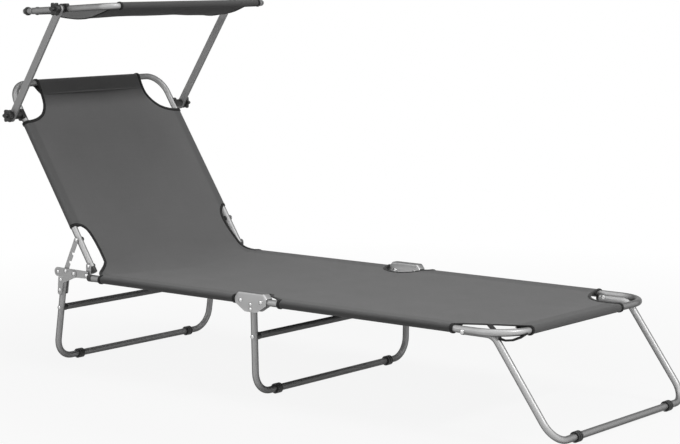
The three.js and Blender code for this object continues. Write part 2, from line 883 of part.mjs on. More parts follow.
// Lobed star knob with its bolt
function knob(pivot, spread) {
  const outline = [];
  const steps = 4 * knobLobes;
  for (let step = 0; step < steps; step += 1) {
    const angle = (2 * Math.PI * step) / steps;
    const radius = knobRadius + knobLobe * Math.cos(knobLobes * angle);
    outline.push([pivot.x + radius * Math.cos(angle), pivot.z + radius * Math.sin(angle)]);
  }
  const face = armFace + armThickness + clearance;
  const top = face + knobHubHeight + knobHeight;
  return joined(
    sidePlate(outline, face + knobHubHeight, knobHeight),
    rod(knobHubRadius, pivot.x, pivot.z, face, face + knobHubHeight + overlap),
    rod(knobStubRadius, pivot.x, pivot.z, top - overlap, top + knobStubHeight),
    rod(pinRadius, pivot.x, pivot.z, spread + clampHalfWidth - clearance, face + overlap),
  );
}

// Canopy loop, left open at the back where the spigot closes it
function canopyFrame() {
  const loop = tube([
    corner(canopyRear, clearance, 0),
    corner(canopyRear, canopySpread, 0, canopyBendRadius),
    corner(canopyFront, canopySpread, 0, canopyBendRadius),
    corner(canopyFront, -canopySpread, 0, canopyBendRadius),
    corner(canopyRear, -canopySpread, 0, canopyBendRadius),
    corner(canopyRear, -clearance, 0),
  ]);
  return loop.applyMatrix4(canopyPose);
}

function canopySpigot() {
  const spigot = rod(stemRadius, canopyRear, 0, -spigotHalf, spigotHalf, boreSides);
  return spigot.applyMatrix4(canopyPose);
}

// Canopy cloth: a hem round each cross tube and a panel hanging between them
function canopyCover() {
  const middle = (canopyRear + canopyFront) / 2;
  const half = (canopyFront - canopyRear) / 2;
  const slope = Math.atan((2 * canopySag) / half);
  const wrap = sleeveInner * Math.sin(slope);
  const lift = sleeveInner * Math.cos(slope);
  const reach = half - wrap;
  const panel = sheet(
    evenly(canopyRear + wrap, canopyFront - wrap, panelRows),
    evenly(-canopySleeveEnd, canopySleeveEnd, panelRows),
    (x) => lift - canopySag * (1 - ((x - middle) / reach) ** 2),
  );
  const hems = [canopyRear, canopyFront].map((x) => sleeve(
    new THREE.Vector3(x, -canopySleeveEnd, 0),
    new THREE.Vector3(x, canopySleeveEnd, 0),
  ));
  return joined(panel, ...hems).applyMatrix4(canopyPose);
}

// Share of the full sag, fading out towards a cross tube at the end of a panel
function fade(x, tubeX, length) {
  const near = Math.min(1, Math.abs(tubeX - x) / length);
  return 1 - (1 - near) ** 2;
}

// Bed panel hanging between two side tubes, with hems along them
function bedPanel(xs, spread, height, sagAt, hem, ends) {
  const panel = sheet(
    xs,
    evenly(-spread, spread, panelRows),
    (x, y) => height + sleeveInner - sagAt(x) * (1 - (y / spread) ** 2),
  );
  const hems = [spread, -spread].map((y) => sleeve(
    new THREE.Vector3(hem[0], y, height),
    new THREE.Vector3(hem[1], y, height),
  ));
  return joined(panel, ...hems, ...ends);
}

// Arch outline round a bracket or corner; the far edge lies outside the bed
function arch(fromX, toX, innerY, outerY, round) {
  return [
    [fromX, outerY, 0],
    [fromX, innerY, round],
    [toX, innerY, round],
    [toX, outerY, 0],
  ];
}

function cutArches(panel, arches, fromZ, toZ) {
  const tools = arches.flatMap((corners) => [corners, mirrored(corners)]);
  return cut(panel, ...tools.map((corners) => cutter(corners, fromZ, toZ)));
}

const outsideY = railSpread + 3 * sleeveOuter;
const archInner = railSpread - archDepth;
const archRound = 42;
const reachZ = 6 * tubeRadius;
const middleArch = arch(seatSleeve[1], footSleeve[0], archInner, outsideY, archRound);

function seatCover() {
  const xs = evenly(seatCoverRear, -coverFold - coverFoldGap, panelRows);
  const rearArch = [
    [seatCoverRear - tubeRadius, outsideY, 0],
    [seatCoverRear - tubeRadius, backArchInner, 0],
    [seatCoverRear + tubeRadius, backArchInner, tubeRadius],
    [seatSleeve[0], railSpread - 2 * tubeRadius, 2 * tubeRadius],
    [seatSleeve[0], outsideY, 0],
  ];
  const panel = bedPanel(xs, railSpread, railHeight, () => bedSag, seatSleeve, []);
  return cutArches(panel, [middleArch, rearArch], railHeight - reachZ, railHeight + reachZ);
}

function middleCover() {
  const half = coverFold - coverFoldGap;
  const strip = sheet(
    evenly(-half, half, 2),
    evenly(-railSpread, railSpread, panelRows),
    (x, y) => railHeight + sleeveInner - bedSag * (1 - (y / railSpread) ** 2),
  );
  return cutArches(strip, [middleArch], railHeight - reachZ, railHeight + reachZ);
}

function footCover() {
  const xs = evenly(coverFold + coverFoldGap, footEnd, panelRows + 2);
  const endHem = sleeve(
    new THREE.Vector3(footEnd, -footSleeveEnd, railHeight),
    new THREE.Vector3(footEnd, footSleeveEnd, railHeight),
  );
  const cornerRound = 60;
  const cornerArch = arch(footSleeve[1], footEnd + 3 * tubeRadius, footSleeveEnd, outsideY, 0);
  cornerArch[1][2] = cornerRound;
  const sagAt = (x) => bedSag * fade(x, footEnd, footLegFloorX - footSleeve[1]);
  const panel = bedPanel(xs, railSpread, railHeight, sagAt, footSleeve, [endHem]);
  return cutArches(panel, [middleArch, cornerArch], railHeight - reachZ, railHeight + reachZ);
}

function backrestCover() {
  const xs = evenly(-backrestLength, -backCoverTail, panelRows);
  const endHem = sleeve(
    new THREE.Vector3(-backrestLength, -backTopSleeveEnd, 0),
    new THREE.Vector3(-backrestLength, backTopSleeveEnd, 0),
  );
  const topRound = 45;
  const lowRound = 28;
  const topArch = arch(-backrestLength - 3 * tubeRadius, -backSleeve[1], backTopSleeveEnd, outsideY, 0);
  topArch[2][2] = topRound;
  const lowArch = arch(-backSleeve[0], -backCoverTail + tubeRadius, backArchInner, outsideY, 0);
  lowArch[1][2] = lowRound;
  const sagAt = (x) => bedSag * fade(x, -backrestLength, backrestLength / 2);
  const hem = [-backSleeve[1], -backSleeve[0]];
  const panel = bedPanel(xs, backrestSpread, 0, sagAt, hem, [endHem]);
  return cutArches(panel, [topArch, lowArch], -reachZ, reachZ).applyMatrix4(backrestPose);
}

// Seat
addPair('seat_rail', seatRail(), steel);
addPair('rail_end_plug', endPlug(seatRailRear, railSpread, railHeight, -1), plastic);
addPair('hinge_plate', hingePlate(), plate);
addPair('backrest_pin', backrestPin(), steel);
addPair('ratchet_pin', ratchetPin(), steel);
add('seat_cover', seatCover(), cloth);

// Middle leg, carried by the folding brackets
addPair('middle_bracket', middleBracket(), plate);
add('middle_leg', middleLeg(), steel);
add('middle_crossbar', crossbar(middleScrew), steel);
addPair('middle_crossbar_cap', crossbarCap(middleScrew, middleLegTopPoint, middleLegFloorPoint), plastic);
addPair('middle_foot', footCap(middleLegFloorPoint.x, middleCapSpread), plastic);
add('middle_cover', middleCover(), cloth);

// Foot section and its leg
add('foot_frame', footFrame(), steel);
add('foot_cover', footCover(), cloth);
addPair('foot_leg_pin', footLegPin(), steel);
add('foot_leg', footLeg(), steel);
addPair('foot_leg_plug', endPlug(footLegTopX, footLegSpread, footLegRun, -1), plastic);
addPair('foot_leg_foot', footCap(footLegFloorX, footCapSpread), plastic);

// Rear leg
add('rear_leg', rearLeg(), steel);
add('rear_crossbar', crossbar(rearScrew), steel);
addPair('rear_crossbar_cap', crossbarCap(rearScrew, rearLegTopPoint, rearLegFloorPoint), plastic);
addPair('rear_foot', footCap(rearLegFloorX, rearCapSpread), plastic);
addPair('rear_leg_bracket', rearLegBracket(), plate);
addPair('rear_leg_pin', linkPin(), steel);

// Backrest
add('backrest_frame', backrestFrame(), steel);
addPair('backrest_plug', endPlug(backrestTail, backrestSpread, 0, 1).applyMatrix4(backrestPose), plastic);
addPair('prop', prop(), plate);
addPair('prop_pin', propPin(), steel);
add('backrest_cover', backrestCover(), cloth);

// Canopy
const lowerClampPose = pose(armPivot.x, armPivot.z, backrestAngle);
addPair('lower_clamp', tubeClamp(backrestSpread, lowerClampPose), plastic);
addPair('canopy_arm', canopyArm(), plate);
addPair('lower_knob', knob(armPivot, backrestSpread), plastic);
addPair('upper_clamp', tubeClamp(canopySpread, canopyPose), plastic);
addPair('upper_knob', knob(canopyPivot, canopySpread), plastic);
add('canopy_frame', canopyFrame(), steel);
add('canopy_spigot', canopySpigot(), steel);
add('canopy_cover', canopyCover(), cloth);

// Origin under the middle of the bounding box
lounger.updateMatrixWorld(true);
const bounds = new THREE.Box3().setFromObject(lounger);
lounger.position.x = -(bounds.min.x + bounds.max.x) / 2;
lounger.position.z = -bounds.min.z;

export default lounger;
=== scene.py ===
import json
import math

import bmesh
import bpy
from mathutils import Matrix, Vector, noise


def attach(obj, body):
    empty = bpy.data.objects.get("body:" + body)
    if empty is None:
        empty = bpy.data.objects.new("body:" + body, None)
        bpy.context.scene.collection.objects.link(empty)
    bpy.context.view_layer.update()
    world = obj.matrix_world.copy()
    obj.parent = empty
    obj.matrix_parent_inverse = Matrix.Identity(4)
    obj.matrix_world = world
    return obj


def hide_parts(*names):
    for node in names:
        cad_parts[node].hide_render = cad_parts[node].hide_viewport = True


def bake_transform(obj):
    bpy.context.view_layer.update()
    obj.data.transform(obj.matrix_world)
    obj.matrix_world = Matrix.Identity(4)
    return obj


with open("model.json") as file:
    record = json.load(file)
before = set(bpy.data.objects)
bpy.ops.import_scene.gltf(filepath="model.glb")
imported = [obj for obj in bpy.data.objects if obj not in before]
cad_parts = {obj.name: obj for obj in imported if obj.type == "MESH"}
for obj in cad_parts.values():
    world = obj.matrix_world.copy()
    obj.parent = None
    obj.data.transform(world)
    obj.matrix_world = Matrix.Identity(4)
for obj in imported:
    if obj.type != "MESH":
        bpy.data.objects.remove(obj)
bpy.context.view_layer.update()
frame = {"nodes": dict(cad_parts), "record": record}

# Sizes are in millimetres from the middle leg, as in the CAD source, unless a comment says metres.
# X runs to the foot end and Y to the far side, which the names call left.
MM = 0.001
SHIFT = 13.7503662          # the frame's X of the middle leg
TUBE, BORE = 8.0, 6.8       # radii of every tube
FLOOR_Z = 12.0              # centre of the legs' floor tubes

BACK_DEGREES, PROP_DEGREES, ARM_DEGREES, CANOPY_DEGREES = 56.7, -63.8, -56.4, -3.1
BACK_ANGLE = math.radians(BACK_DEGREES)
HINGE = (-548.0, 255.0)     # pins as (x, z)
FOLD_PIN = (-593.0, 233.0)
FOOT_PIN = (588.0, 224.5)

RAIL_Y, RAIL_Z, RAIL_REAR = 290.0, 228.0, -533.0
BACK_Y, BACK_TOP, BACK_TAIL = 271.0, 520.0, 14.0    # top and tail along the backrest from its hinge
PROP_S, ARM_S = 74.0, 432.0     # pivots of the prop and the canopy's arm along the backrest
FOOT_END, FOOT_BEND = 700.0, 80.0
REAR_LEG_Y, REAR_LEG_TOP, REAR_LEG_LOW = 277.0, (-638.0, 222.0), (-671.7, FLOOR_Z)
FOOT_LEG_Y, FOOT_LEG_TOP, FOOT_LEG_LOW = 271.0, (573.0, 221.0), (803.0, FLOOR_Z)
CANOPY_Y, CANOPY_X, CANOPY_BEND = 283.0, (-139.0, 150.0), 30.0
ARM_LENGTH, ARM_FACE, ARM_THICK = 320.0, 301.0, 6.0
# Crossbars: x, leg centre, height, and how far the leg leans per mm of height
CROSSBARS = {"middle_crossbar": (0.0, 287.5, 145.0, 0.0), "rear_crossbar": (-650.84, 277.0, 142.0, 0.16)}
CROSSBAR_GAP = 7.0          # from the leg's surface to the crossbar's end

PLATE = 2.0                 # wall of the pressed plates
PIN_HOLE, HEAD, SHANK = 3.3, 5.2, 3.0   # radii of pin holes, rivet heads and shanks

CLOTH = 8.8                 # from a tube's centre to the cloth round it
CLOTH_THICK = 0.0008        # metres
FLAP = 36.0                 # how far a sleeve's end runs back under the panel
CLOTH_COLUMNS = 44          # faces across the panel

BODY = {n: body for body, nodes in frame["record"]["behaviour"]["bodies"].items() for n in nodes}


def place(x, y, z):
    """A point in the source's millimetres as a point of the frame in metres."""
    return Vector(((x + SHIFT) * MM, y * MM, z * MM))


def smooth(t):
    """Eased step from 0 to 1."""
    t = min(1.0, max(0.0, t))
    return t * t * (3.0 - 2.0 * t)


def even(a, b, count):
    """Evenly spaced values from a to b."""
    return [a + (b - a) * i / count for i in range(count + 1)]


def curve_at(points, t):
    """Value of a polyline of (t, value), held beyond its ends."""
    if t <= points[0][0]:
        return points[0][1]
    for (a, va), (b, vb) in zip(points, points[1:]):
        if t <= b:
            return va + (vb - va) * (t - a) / (b - a)
    return points[-1][1]


# ---- materials
def node(tree, kind, inputs=None, **settings):
    """New node; each input is a value or the output that it is linked to."""
    made = tree.nodes.new(kind)
    for key, value in settings.items():
        setattr(made, key, value)
    for key, value in (inputs or {}).items():
        if hasattr(value, "is_linked"):
            tree.links.new(value, made.inputs[key])
        else:
            made.inputs[key].default_value = value
    return made


def calc(tree, operation, a, b=0.0):
    return node(tree, "ShaderNodeMath", {0: a, 1: b}, operation=operation).outputs[0]


def total(tree, *terms):
    """Sum of outputs, each with its weight."""
    parts = [calc(tree, "MULTIPLY", value, weight) for value, weight in terms]
    while len(parts) > 1:
        parts[:2] = [calc(tree, "ADD", parts[0], parts[1])]
    return parts[0]


def highest(tree, a, b, c):
    return calc(tree, "MAXIMUM", calc(tree, "MAXIMUM", a, b), c)


def ramp(tree, value, low, high, start, end):
    """start where value is below low, end where it is above high."""
    return node(tree, "ShaderNodeMapRange", {0: value, 1: low, 2: high, 3: start, 4: end}).outputs[0]


def cloudy(tree, where, scale, detail, rough=0.5):
    settings = {"Vector": where, "Scale": scale, "Detail": detail, "Roughness": rough}
    return node(tree, "ShaderNodeTexNoise", settings).outputs[0]


def scaled(tree, where, scale):
    return node(tree, "ShaderNodeMapping", {"Vector": where, "Scale": scale}).outputs[0]


def ridges(tree, value, pitch):
    """One ridge per pitch."""
    return calc(tree, "ABSOLUTE", calc(tree, "SINE", calc(tree, "MULTIPLY", value, math.pi / pitch)))


def blend_colour(tree, share, first, second):
    return node(tree, "ShaderNodeMix", {0: share, 6: first, 7: second}, data_type="RGBA").outputs[2]


def grey(level):
    return (level, level, level, 1.0)


def new_material(name, metallic=0.0, **sockets):
    mat = bpy.data.materials.new(name)
    mat.use_nodes = True
    shader = mat.node_tree.nodes["Principled BSDF"]
    shader.inputs["Metallic"].default_value = metallic
    for key, value in sockets.items():
        shader.inputs[key.replace("_", " ")].default_value = value
    return mat, mat.node_tree, shader


def finish_material(tree, shader, colour, rough, height, strength, distance):
    tree.links.new(colour, shader.inputs["Base Color"])
    tree.links.new(rough, shader.inputs["Roughness"])
    bump = node(tree, "ShaderNodeBump", {"Strength": strength, "Distance": distance, "Height": height})
    tree.links.new(bump.outputs[0], shader.inputs["Normal"])


def rubbed_edges(tree, low, high, most):
    """Share of wear, which grows with how pointed the surface is."""
    return ramp(tree, node(tree, "ShaderNodeNewGeometry").outputs["Pointiness"], low, high, 0.0, most)


def metal(name, dark, light, metallic, rough, streak, edge=0.9):
    """Painted or plated metal: orange peel, faint streaks, worn edges, and painted shade at a glancing angle."""
    mat, tree, shader = new_material(name, metallic, Specular_IOR_Level=0.22, Specular_Tint=grey(0.35))
    where = node(tree, "ShaderNodeTexCoord").outputs["Object"]
    streaks = cloudy(tree, scaled(tree, where, streak), 900.0, 3.0)
    cloud = cloudy(tree, where, 14.0, 4.0)
    peel = cloudy(tree, where, 1600.0, 2.0)
    tone = blend_colour(tree, total(tree, (streaks, 0.5), (cloud, 0.5)), grey(dark), grey(light))
    # Painted shade: the colour darkens at a glancing angle, standing in for dark reflections along a tube's edges.
    facing = node(tree, "ShaderNodeLayerWeight", {"Blend": 0.5}).outputs["Facing"]
    tone = blend_colour(tree, ramp(tree, facing, 0.2, 0.62, 0.0, 0.93), tone, grey(dark * 0.1))
    colour = blend_colour(tree, rubbed_edges(tree, 0.57, 0.66, 0.5), tone, grey(edge))
    roughness = ramp(tree, cloud, 0.3, 0.7, rough - 0.05, rough + 0.07)
    finish_material(tree, shader, colour, roughness, total(tree, (streaks, 0.6), (peel, 0.7)), 0.07, 0.0002)
    return mat


def moulded(name, dark, light, rough):
    """Black moulded plastic with a fine spark-eroded grain and lighter rubbed edges."""
    mat, tree, shader = new_material(name, Specular_IOR_Level=0.45)
    where = node(tree, "ShaderNodeTexCoord").outputs["Object"]
    grain = node(tree, "ShaderNodeTexVoronoi", {"Vector": where, "Scale": 1500.0}).outputs["Distance"]
    cloud = cloudy(tree, where, 40.0, 5.0)
    tone = blend_colour(tree, cloud, grey(dark), grey(light))
    colour = blend_colour(tree, rubbed_edges(tree, 0.52, 0.62, 0.7), tone, grey(0.07))
    roughness = ramp(tree, cloud, 0.3, 0.7, rough - 0.06, rough + 0.08)
    finish_material(tree, shader, colour, roughness, grain, 0.35, 0.0002)
    return mat


THREADS = 0.0011            # pitch of the weave and of the tape's ribs, in metres
NOWHERE = 9.0               # beyond every UV


def woven(name, level, sheen, sides=NOWHERE, foot=NOWHERE, under=NOWHERE, head=-NOWHERE):
    """Plain weave on the cloth's UV in metres, with slubs.

    Painted shade: darker where the cloth is doubled, beyond sides and foot, in place of the lesser light through
    two layers, and darker on the sleeves' underside, beyond under, in place of the shade there; and painted shade
    on the head hem, beyond head.
    """
    mat, tree, shader = new_material(name, Sheen_Weight=sheen, Sheen_Roughness=0.5, Specular_IOR_Level=0.25)
    uv = node(tree, "ShaderNodeUVMap", uv_map="cloth").outputs[0]
    along, across, _ = node(tree, "ShaderNodeSeparateXYZ", {0: uv}).outputs
    checks = {"Vector": uv, "Color1": grey(1.0), "Color2": grey(0.0), "Scale": 1.0 / THREADS}
    over = node(tree, "ShaderNodeTexChecker", checks).outputs["Fac"]
    threads = {0: over, 2: ridges(tree, along, THREADS), 3: ridges(tree, across, THREADS)}
    weave = node(tree, "ShaderNodeMix", threads, data_type="FLOAT").outputs[0]
    slubs = [cloudy(tree, scaled(tree, uv, way), 1.0, 2.0) for way in ((12.0, 700.0, 1.0), (700.0, 12.0, 1.0))]
    slubs = total(tree, (slubs[0], 0.5), (slubs[1], 0.5))
    cloud = cloudy(tree, uv, 7.0, 4.0, 0.6)
    share = total(tree, (slubs, 0.55), (cloud, 0.3), (weave, 0.22))
    colour = blend_colour(tree, share, grey(level * 0.72), grey(level * 1.3))
    spread = calc(tree, "ABSOLUTE", across)
    # Painted shade: the doubled cloth at the sides and foot and the sleeves' underside are darkened in colour.
    painted_margin_shade = highest(
        tree,
        ramp(tree, spread, sides - 0.004, sides + 0.004, 0.0, 0.2),
        ramp(tree, along, foot - 0.004, foot + 0.004, 0.0, 0.26),
        ramp(tree, spread, under - 0.005, under + 0.005, 0.0, 0.55))
    # The head ramp is painted shade on the head hem, deepening the canopy's shadow there; both shades darken
    # towards grey(level * 0.15).
    for shade in (painted_margin_shade, ramp(tree, along, head - 0.003, head + 0.003, 0.16, 0.0)):
        colour = blend_colour(tree, shade, colour, grey(level * 0.15))
    rough = ramp(tree, slubs, 0.2, 0.8, 0.82, 0.97)
    finish_material(tree, shader, colour, rough, total(tree, (weave, 1.0), (slubs, 0.6)), 0.4, 0.0003)
    return mat


def tape(name):
    """Black binding tape with ribs across it."""
    mat, tree, shader = new_material(name, Sheen_Weight=0.1, Sheen_Roughness=0.4, Specular_IOR_Level=0.3)
    uv = node(tree, "ShaderNodeUVMap", uv_map="cloth").outputs[0]
    ribs = ridges(tree, node(tree, "ShaderNodeSeparateXYZ", {0: uv}).outputs[0], THREADS)
    cloud = cloudy(tree, uv, 90.0, 3.0)
    colour = blend_colour(tree, total(tree, (ribs, 0.5), (cloud, 0.5)), grey(0.006), grey(0.02))
    finish_material(tree, shader, colour, ramp(tree, cloud, 0.3, 0.7, 0.7, 0.9), ribs, 0.4, 0.0003)
    return mat


STEEL = metal("steel_silver", 0.57, 0.69, 0.12, 0.36, (0.25, 0.25, 0.25))
# A lighter copy of the steel for the foot frame and foot leg: painted light, where more light falls at the foot
# end.
FOOT_STEEL_PAINTED_LIGHT = metal("steel_silver_foot_painted_light", 0.66, 0.8, 0.12, 0.36, (0.25, 0.25, 0.25))
FLAT = metal("flat_bar_silver", 0.54, 0.64, 0.1, 0.38, (0.1, 0.3, 0.1))
ZINC = metal("zinc_plate", 0.58, 0.7, 0.4, 0.36, (0.15, 0.4, 0.15))
RIVET = metal("rivet_bright", 0.62, 0.78, 0.85, 0.25, (0.3, 0.3, 0.3), edge=0.95)
# A darker copy of the steel for the crossbars: painted shade, where the bed shades them.
BAR_STEEL_PAINTED_SHADE = metal("crossbar_steel_painted_shade", 0.34, 0.42, 0.1, 0.38, (0.25, 0.25, 0.25), edge=0.5)
PLASTIC = moulded("black_moulding", 0.010, 0.020, 0.46)
# The margins mark painted shade: doubled cloth at sides and foot, the sleeves' underside, and the head hem under
# the canopy's shadow.
BED = woven("bed_weave", 0.155, 0.12, sides=0.254, foot=1.19, under=0.299, head=-0.511)
SHADE = woven("canopy_weave", 0.09, 0.08)
TAPE = tape("binding_tape")


# ---- mesh kit
TUBE_SIDES = 32
TUBE_EDGE = 0.3             # break of a tube's outer edge
BORE_DEPTH = 0.03           # how far a tube's open end is hollow, in metres
BEND_STEPS = 14             # points per quarter turn of a bent tube
BEVEL_ANGLE = math.radians(42.0)
ACROSS = (0, 1, 0)          # axis across the bed


def linked(name, data):
    """New object in the scene."""
    obj = bpy.data.objects.new(name, data)
    bpy.context.scene.collection.objects.link(obj)
    return obj


class Piece:
    """Collects shells of one object: points in metres, faces, a material and UVs."""

    def __init__(self, name):
        self.name = name
        self.verts, self.faces, self.mats, self.uvs, self.palette = [], [], [], [], []

    def add(self, verts, faces, mat, uvs=None):
        if mat not in self.palette:
            self.palette.append(mat)
        base, index = len(self.verts), self.palette.index(mat)
        self.verts += [Vector(v) for v in verts]
        for face in faces:
            self.faces.append([base + i for i in face])
            self.mats.append(index)
            self.uvs.append([uvs[i] for i in face] if uvs else [(0.0, 0.0)] * len(face))

    def surface(self, rows, mat, uvs=None, closed=False, flip=False, capped=False):
        """Skin over rows of points; closed joins each row's ends, capped fills the first and last row."""
        count, faces = len(rows[0]), []
        for i in range(len(rows) - 1):
            for j in range(count if closed else count - 1):
                a, b = i * count + j, i * count + (j + 1) % count
                face = (a, b, b + count, a + count)
                faces.append(face[::-1] if flip else face)
        verts = [p for row in rows for p in row]
        if capped:
            faces.append(tuple(range(count - 1, -1, -1)))
            faces.append(tuple(range(len(verts) - count, len(verts))))
        self.add(verts, faces, mat, uvs)

    def skin(self, rows, mat, flip=False):
        """Surface over rows of (point, u, v), with u and v in millimetres."""
        uvs = [(u * MM, v * MM) for row in rows for _, u, v in row]
        self.surface([[point for point, _, _ in row] for row in rows], mat, uvs, flip=flip)

    def mirror(self):
        """The right piece for a left one."""
        other = Piece(self.name.replace("left", "right"))
        other.mats, other.palette = self.mats, self.palette
        other.verts = [Vector((v.x, -v.y, v.z)) for v in self.verts]
        other.faces = [face[::-1] for face in self.faces]
        other.uvs = [uv[::-1] for uv in self.uvs]
        return other

    def object(self, merge=0.0, sharp=38.0, bevel=0.0, solid=0.0):
        mesh = bpy.data.meshes.new(self.name)
        mesh.from_pydata([v[:] for v in self.verts], [], self.faces)
        for mat in self.palette:
            mesh.materials.append(mat)
        mesh.polygons.foreach_set("material_index", self.mats)
        layer = mesh.uv_layers.new(name="cloth")
        layer.data.foreach_set("uv", [c for face in self.uvs for uv in face for c in uv])
        if merge:
            bm = bmesh.new()
            bm.from_mesh(mesh)
            bmesh.ops.remove_doubles(bm, verts=bm.verts, dist=merge)
            bm.to_mesh(mesh)
            bm.free()
        mesh.shade_smooth()
        mesh.set_sharp_from_angle(angle=math.radians(sharp))
        obj = linked(self.name, mesh)
        if bevel:
            rim = obj.modifiers.new("edges", "BEVEL")
            rim.width, rim.segments, rim.limit_method = bevel, 2, "ANGLE"
            rim.angle_limit, rim.harden_normals = BEVEL_ANGLE, True
            rim.use_clamp_overlap = True
        if solid:
            thick = obj.modifiers.new("thickness", "SOLIDIFY")
            thick.thickness, thick.offset = solid, 0.0
            graph = bpy.context.evaluated_depsgraph_get()
            obj.data = bpy.data.meshes.new_from_object(obj.evaluated_get(graph))
            obj.modifiers.clear()
            obj.data.set_sharp_from_angle(angle=math.radians(sharp))
        return obj


def stand_for(obj, node_name):
    """The piece rides on the node's body and hides the node."""
    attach(obj, BODY[node_name])
    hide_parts(node_name)


def pair(piece, node_name, **how):
    """Left piece and its mirror image, each in place of its node."""
    stand_for(piece.object(**how), node_name + "_left")
    stand_for(piece.mirror().object(**how), node_name + "_right")


def beside(obj, body_node):
    """The piece rides with one node's body, but hides no node."""
    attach(obj, BODY[body_node])


def frames_along(points):
    """Tangent, normal and side at each point, without twist."""
    last = len(points) - 1
    tangents = [(points[min(last, i + 1)] - points[max(0, i - 1)]).normalized() for i in range(last + 1)]
    normal = Vector((0.0, 0.0, 1.0))
    if abs(normal.dot(tangents[0])) > 0.9:
        normal = Vector((1.0, 0.0, 0.0))
    frames = []
    for tangent in tangents:
        normal = (normal - tangent * normal.dot(tangent)).normalized()
        frames.append((tangent, normal, tangent.cross(normal)))
    return frames


def bent(corners):
    """Points in metres along corners (x, y, z, bend radius), with round bends."""
    places = [place(*c[:3]) for c in corners]
    points = []
    for i, corner in enumerate(corners):
        if len(corner) < 4:
            points.append(places[i])
            continue
        bend = corner[3] * MM
        arriving = (places[i] - places[i - 1]).normalized()
        leaving = (places[i + 1] - places[i]).normalized()
        turn = arriving.angle(leaving)
        setback = bend * math.tan(turn / 2)
        centre = places[i] + (leaving - arriving).normalized() * (bend / math.cos(turn / 2))
        axis = arriving.cross(leaving).normalized()
        start = places[i] - arriving * setback - centre
        steps = max(2, round(BEND_STEPS * turn * 2 / math.pi))
        for step in range(steps + 1):
            points.append(Matrix.Rotation(turn * step / steps, 3, axis) @ start + centre)
    return points


def u_points(half):
    """U of tube from the corners of its far half."""
    return bent([*half, *((x, -y, *rest) for x, y, *rest in reversed(half))])


def straight(a, b):
    return [a.lerp(b, i / 6) for i in range(7)]


def moved(points, matrix):
    return [matrix @ p for p in points]


def circle_angles(count):
    return [2 * math.pi * k / count for k in range(count)]


def pipe(name, points, mat):
    """Round tube along points, hollow at both ends."""
    frames = frames_along(points)

    def ring(i, radius, push=0.0):
        tangent, normal, side = frames[i]
        centre = points[i] + tangent * push
        return [centre + (normal * math.cos(a) + side * math.sin(a)) * radius * MM
                for a in circle_angles(TUBE_SIDES)]

    edge = TUBE_EDGE * MM
    rows = [ring(0, BORE, BORE_DEPTH), ring(0, BORE), ring(0, TUBE - TUBE_EDGE), ring(0, TUBE, edge)]
    rows += [ring(i, TUBE) for i in range(1, len(points) - 1)]
    rows += [ring(-1, TUBE, -edge), ring(-1, TUBE - TUBE_EDGE), ring(-1, BORE), ring(-1, BORE, -BORE_DEPTH)]
    piece = Piece(name)
    piece.surface(rows, mat, closed=True)
    return piece


def lathe(piece, profile, centre, axis, mat, sides=32, lobes=None):
    """Profile of (radius, along) in mm turned about an axis through centre."""
    axis = Vector(axis).normalized()
    side = axis.orthogonal().normalized() if abs(axis.y) < 0.99 else Vector((1.0, 0.0, 0.0))
    other = axis.cross(side)
    rows = []
    for radius, along in profile:
        row = []
        for angle in circle_angles(sides):
            r = max(radius + (lobes(angle, radius) if lobes else 0.0), 0.005)
            outward = side * math.cos(angle) + other * math.sin(angle)
            row.append(centre + axis * (along * MM) + outward * (r * MM))
        rows.append(row)
    piece.surface(rows, mat, closed=True, flip=True)


def lathed_pair(name, node_name, *how):
    piece = Piece(name)
    lathe(piece, *how)
    pair(piece, node_name)


def dome(piece, x, y, z, out, radius=HEAD, height=2.2, mat=RIVET):
    """Rivet head on a face across the bed; out is 1 or -1 along Y."""
    rim = 0.35
    profile = [(radius, 0.0), (radius, rim)]
    for angle in even(0, math.pi / 2, 6)[1:]:
        profile.append((radius * math.cos(angle), rim + (height - rim) * math.sin(angle)))
    lathe(piece, profile, place(x, y, z), (0, out, 0), mat, 28)


def shank(piece, x, y, z, length):
    lathe(piece, [(SHANK, 0), (SHANK, length)], place(x, y, z), ACROSS, RIVET, 20)


def spacer(piece, x, y, z, length):
    lathe(piece, [(HEAD, 0), (HEAD, length)], place(x, y, z), ACROSS, ZINC, 24)


def pin(piece, spot, from_y, to_y, head=HEAD):
    """Shank between two faces, with a domed head on each end."""
    x, z = spot
    shank(piece, x, from_y, z, to_y - from_y)
    dome(piece, x, from_y, z, -1, head)
    dome(piece, x, to_y, z, 1, head)


def rounded(corners, steps=8):
    """Outline with round corners; a corner is (x, z, radius)."""
    count, points = len(corners), []
    for i, (x, z, radius) in enumerate(corners):
        here = Vector((x, z))
        before = Vector(corners[i - 1][:2])
        after = Vector(corners[(i + 1) % count][:2])
        arriving, leaving = (here - before).normalized(), (after - here).normalized()
        way = 1 if arriving.x * leaving.y - arriving.y * leaving.x > 0 else -1
        turn = arriving.angle(leaving)
        setback = radius * math.tan(turn / 2)
        start = here - arriving * setback
        centre = start + Vector((-arriving.y, arriving.x)) * way * radius
        for step in range(steps + 1):
            points.append(centre + Matrix.Rotation(turn * way * step / steps, 2) @ (start - centre))
    return points


def bar_outline(x0, x1, z0, z1, radius, steps=8):
    """Rectangle with round corners."""
    return rounded([(x0, z0, radius), (x1, z0, radius), (x1, z1, radius), (x0, z1, radius)], steps)


def hole(x, z):
    return [Vector((x + PIN_HOLE * math.cos(a), z + PIN_HOLE * math.sin(a))) for a in circle_angles(24)]


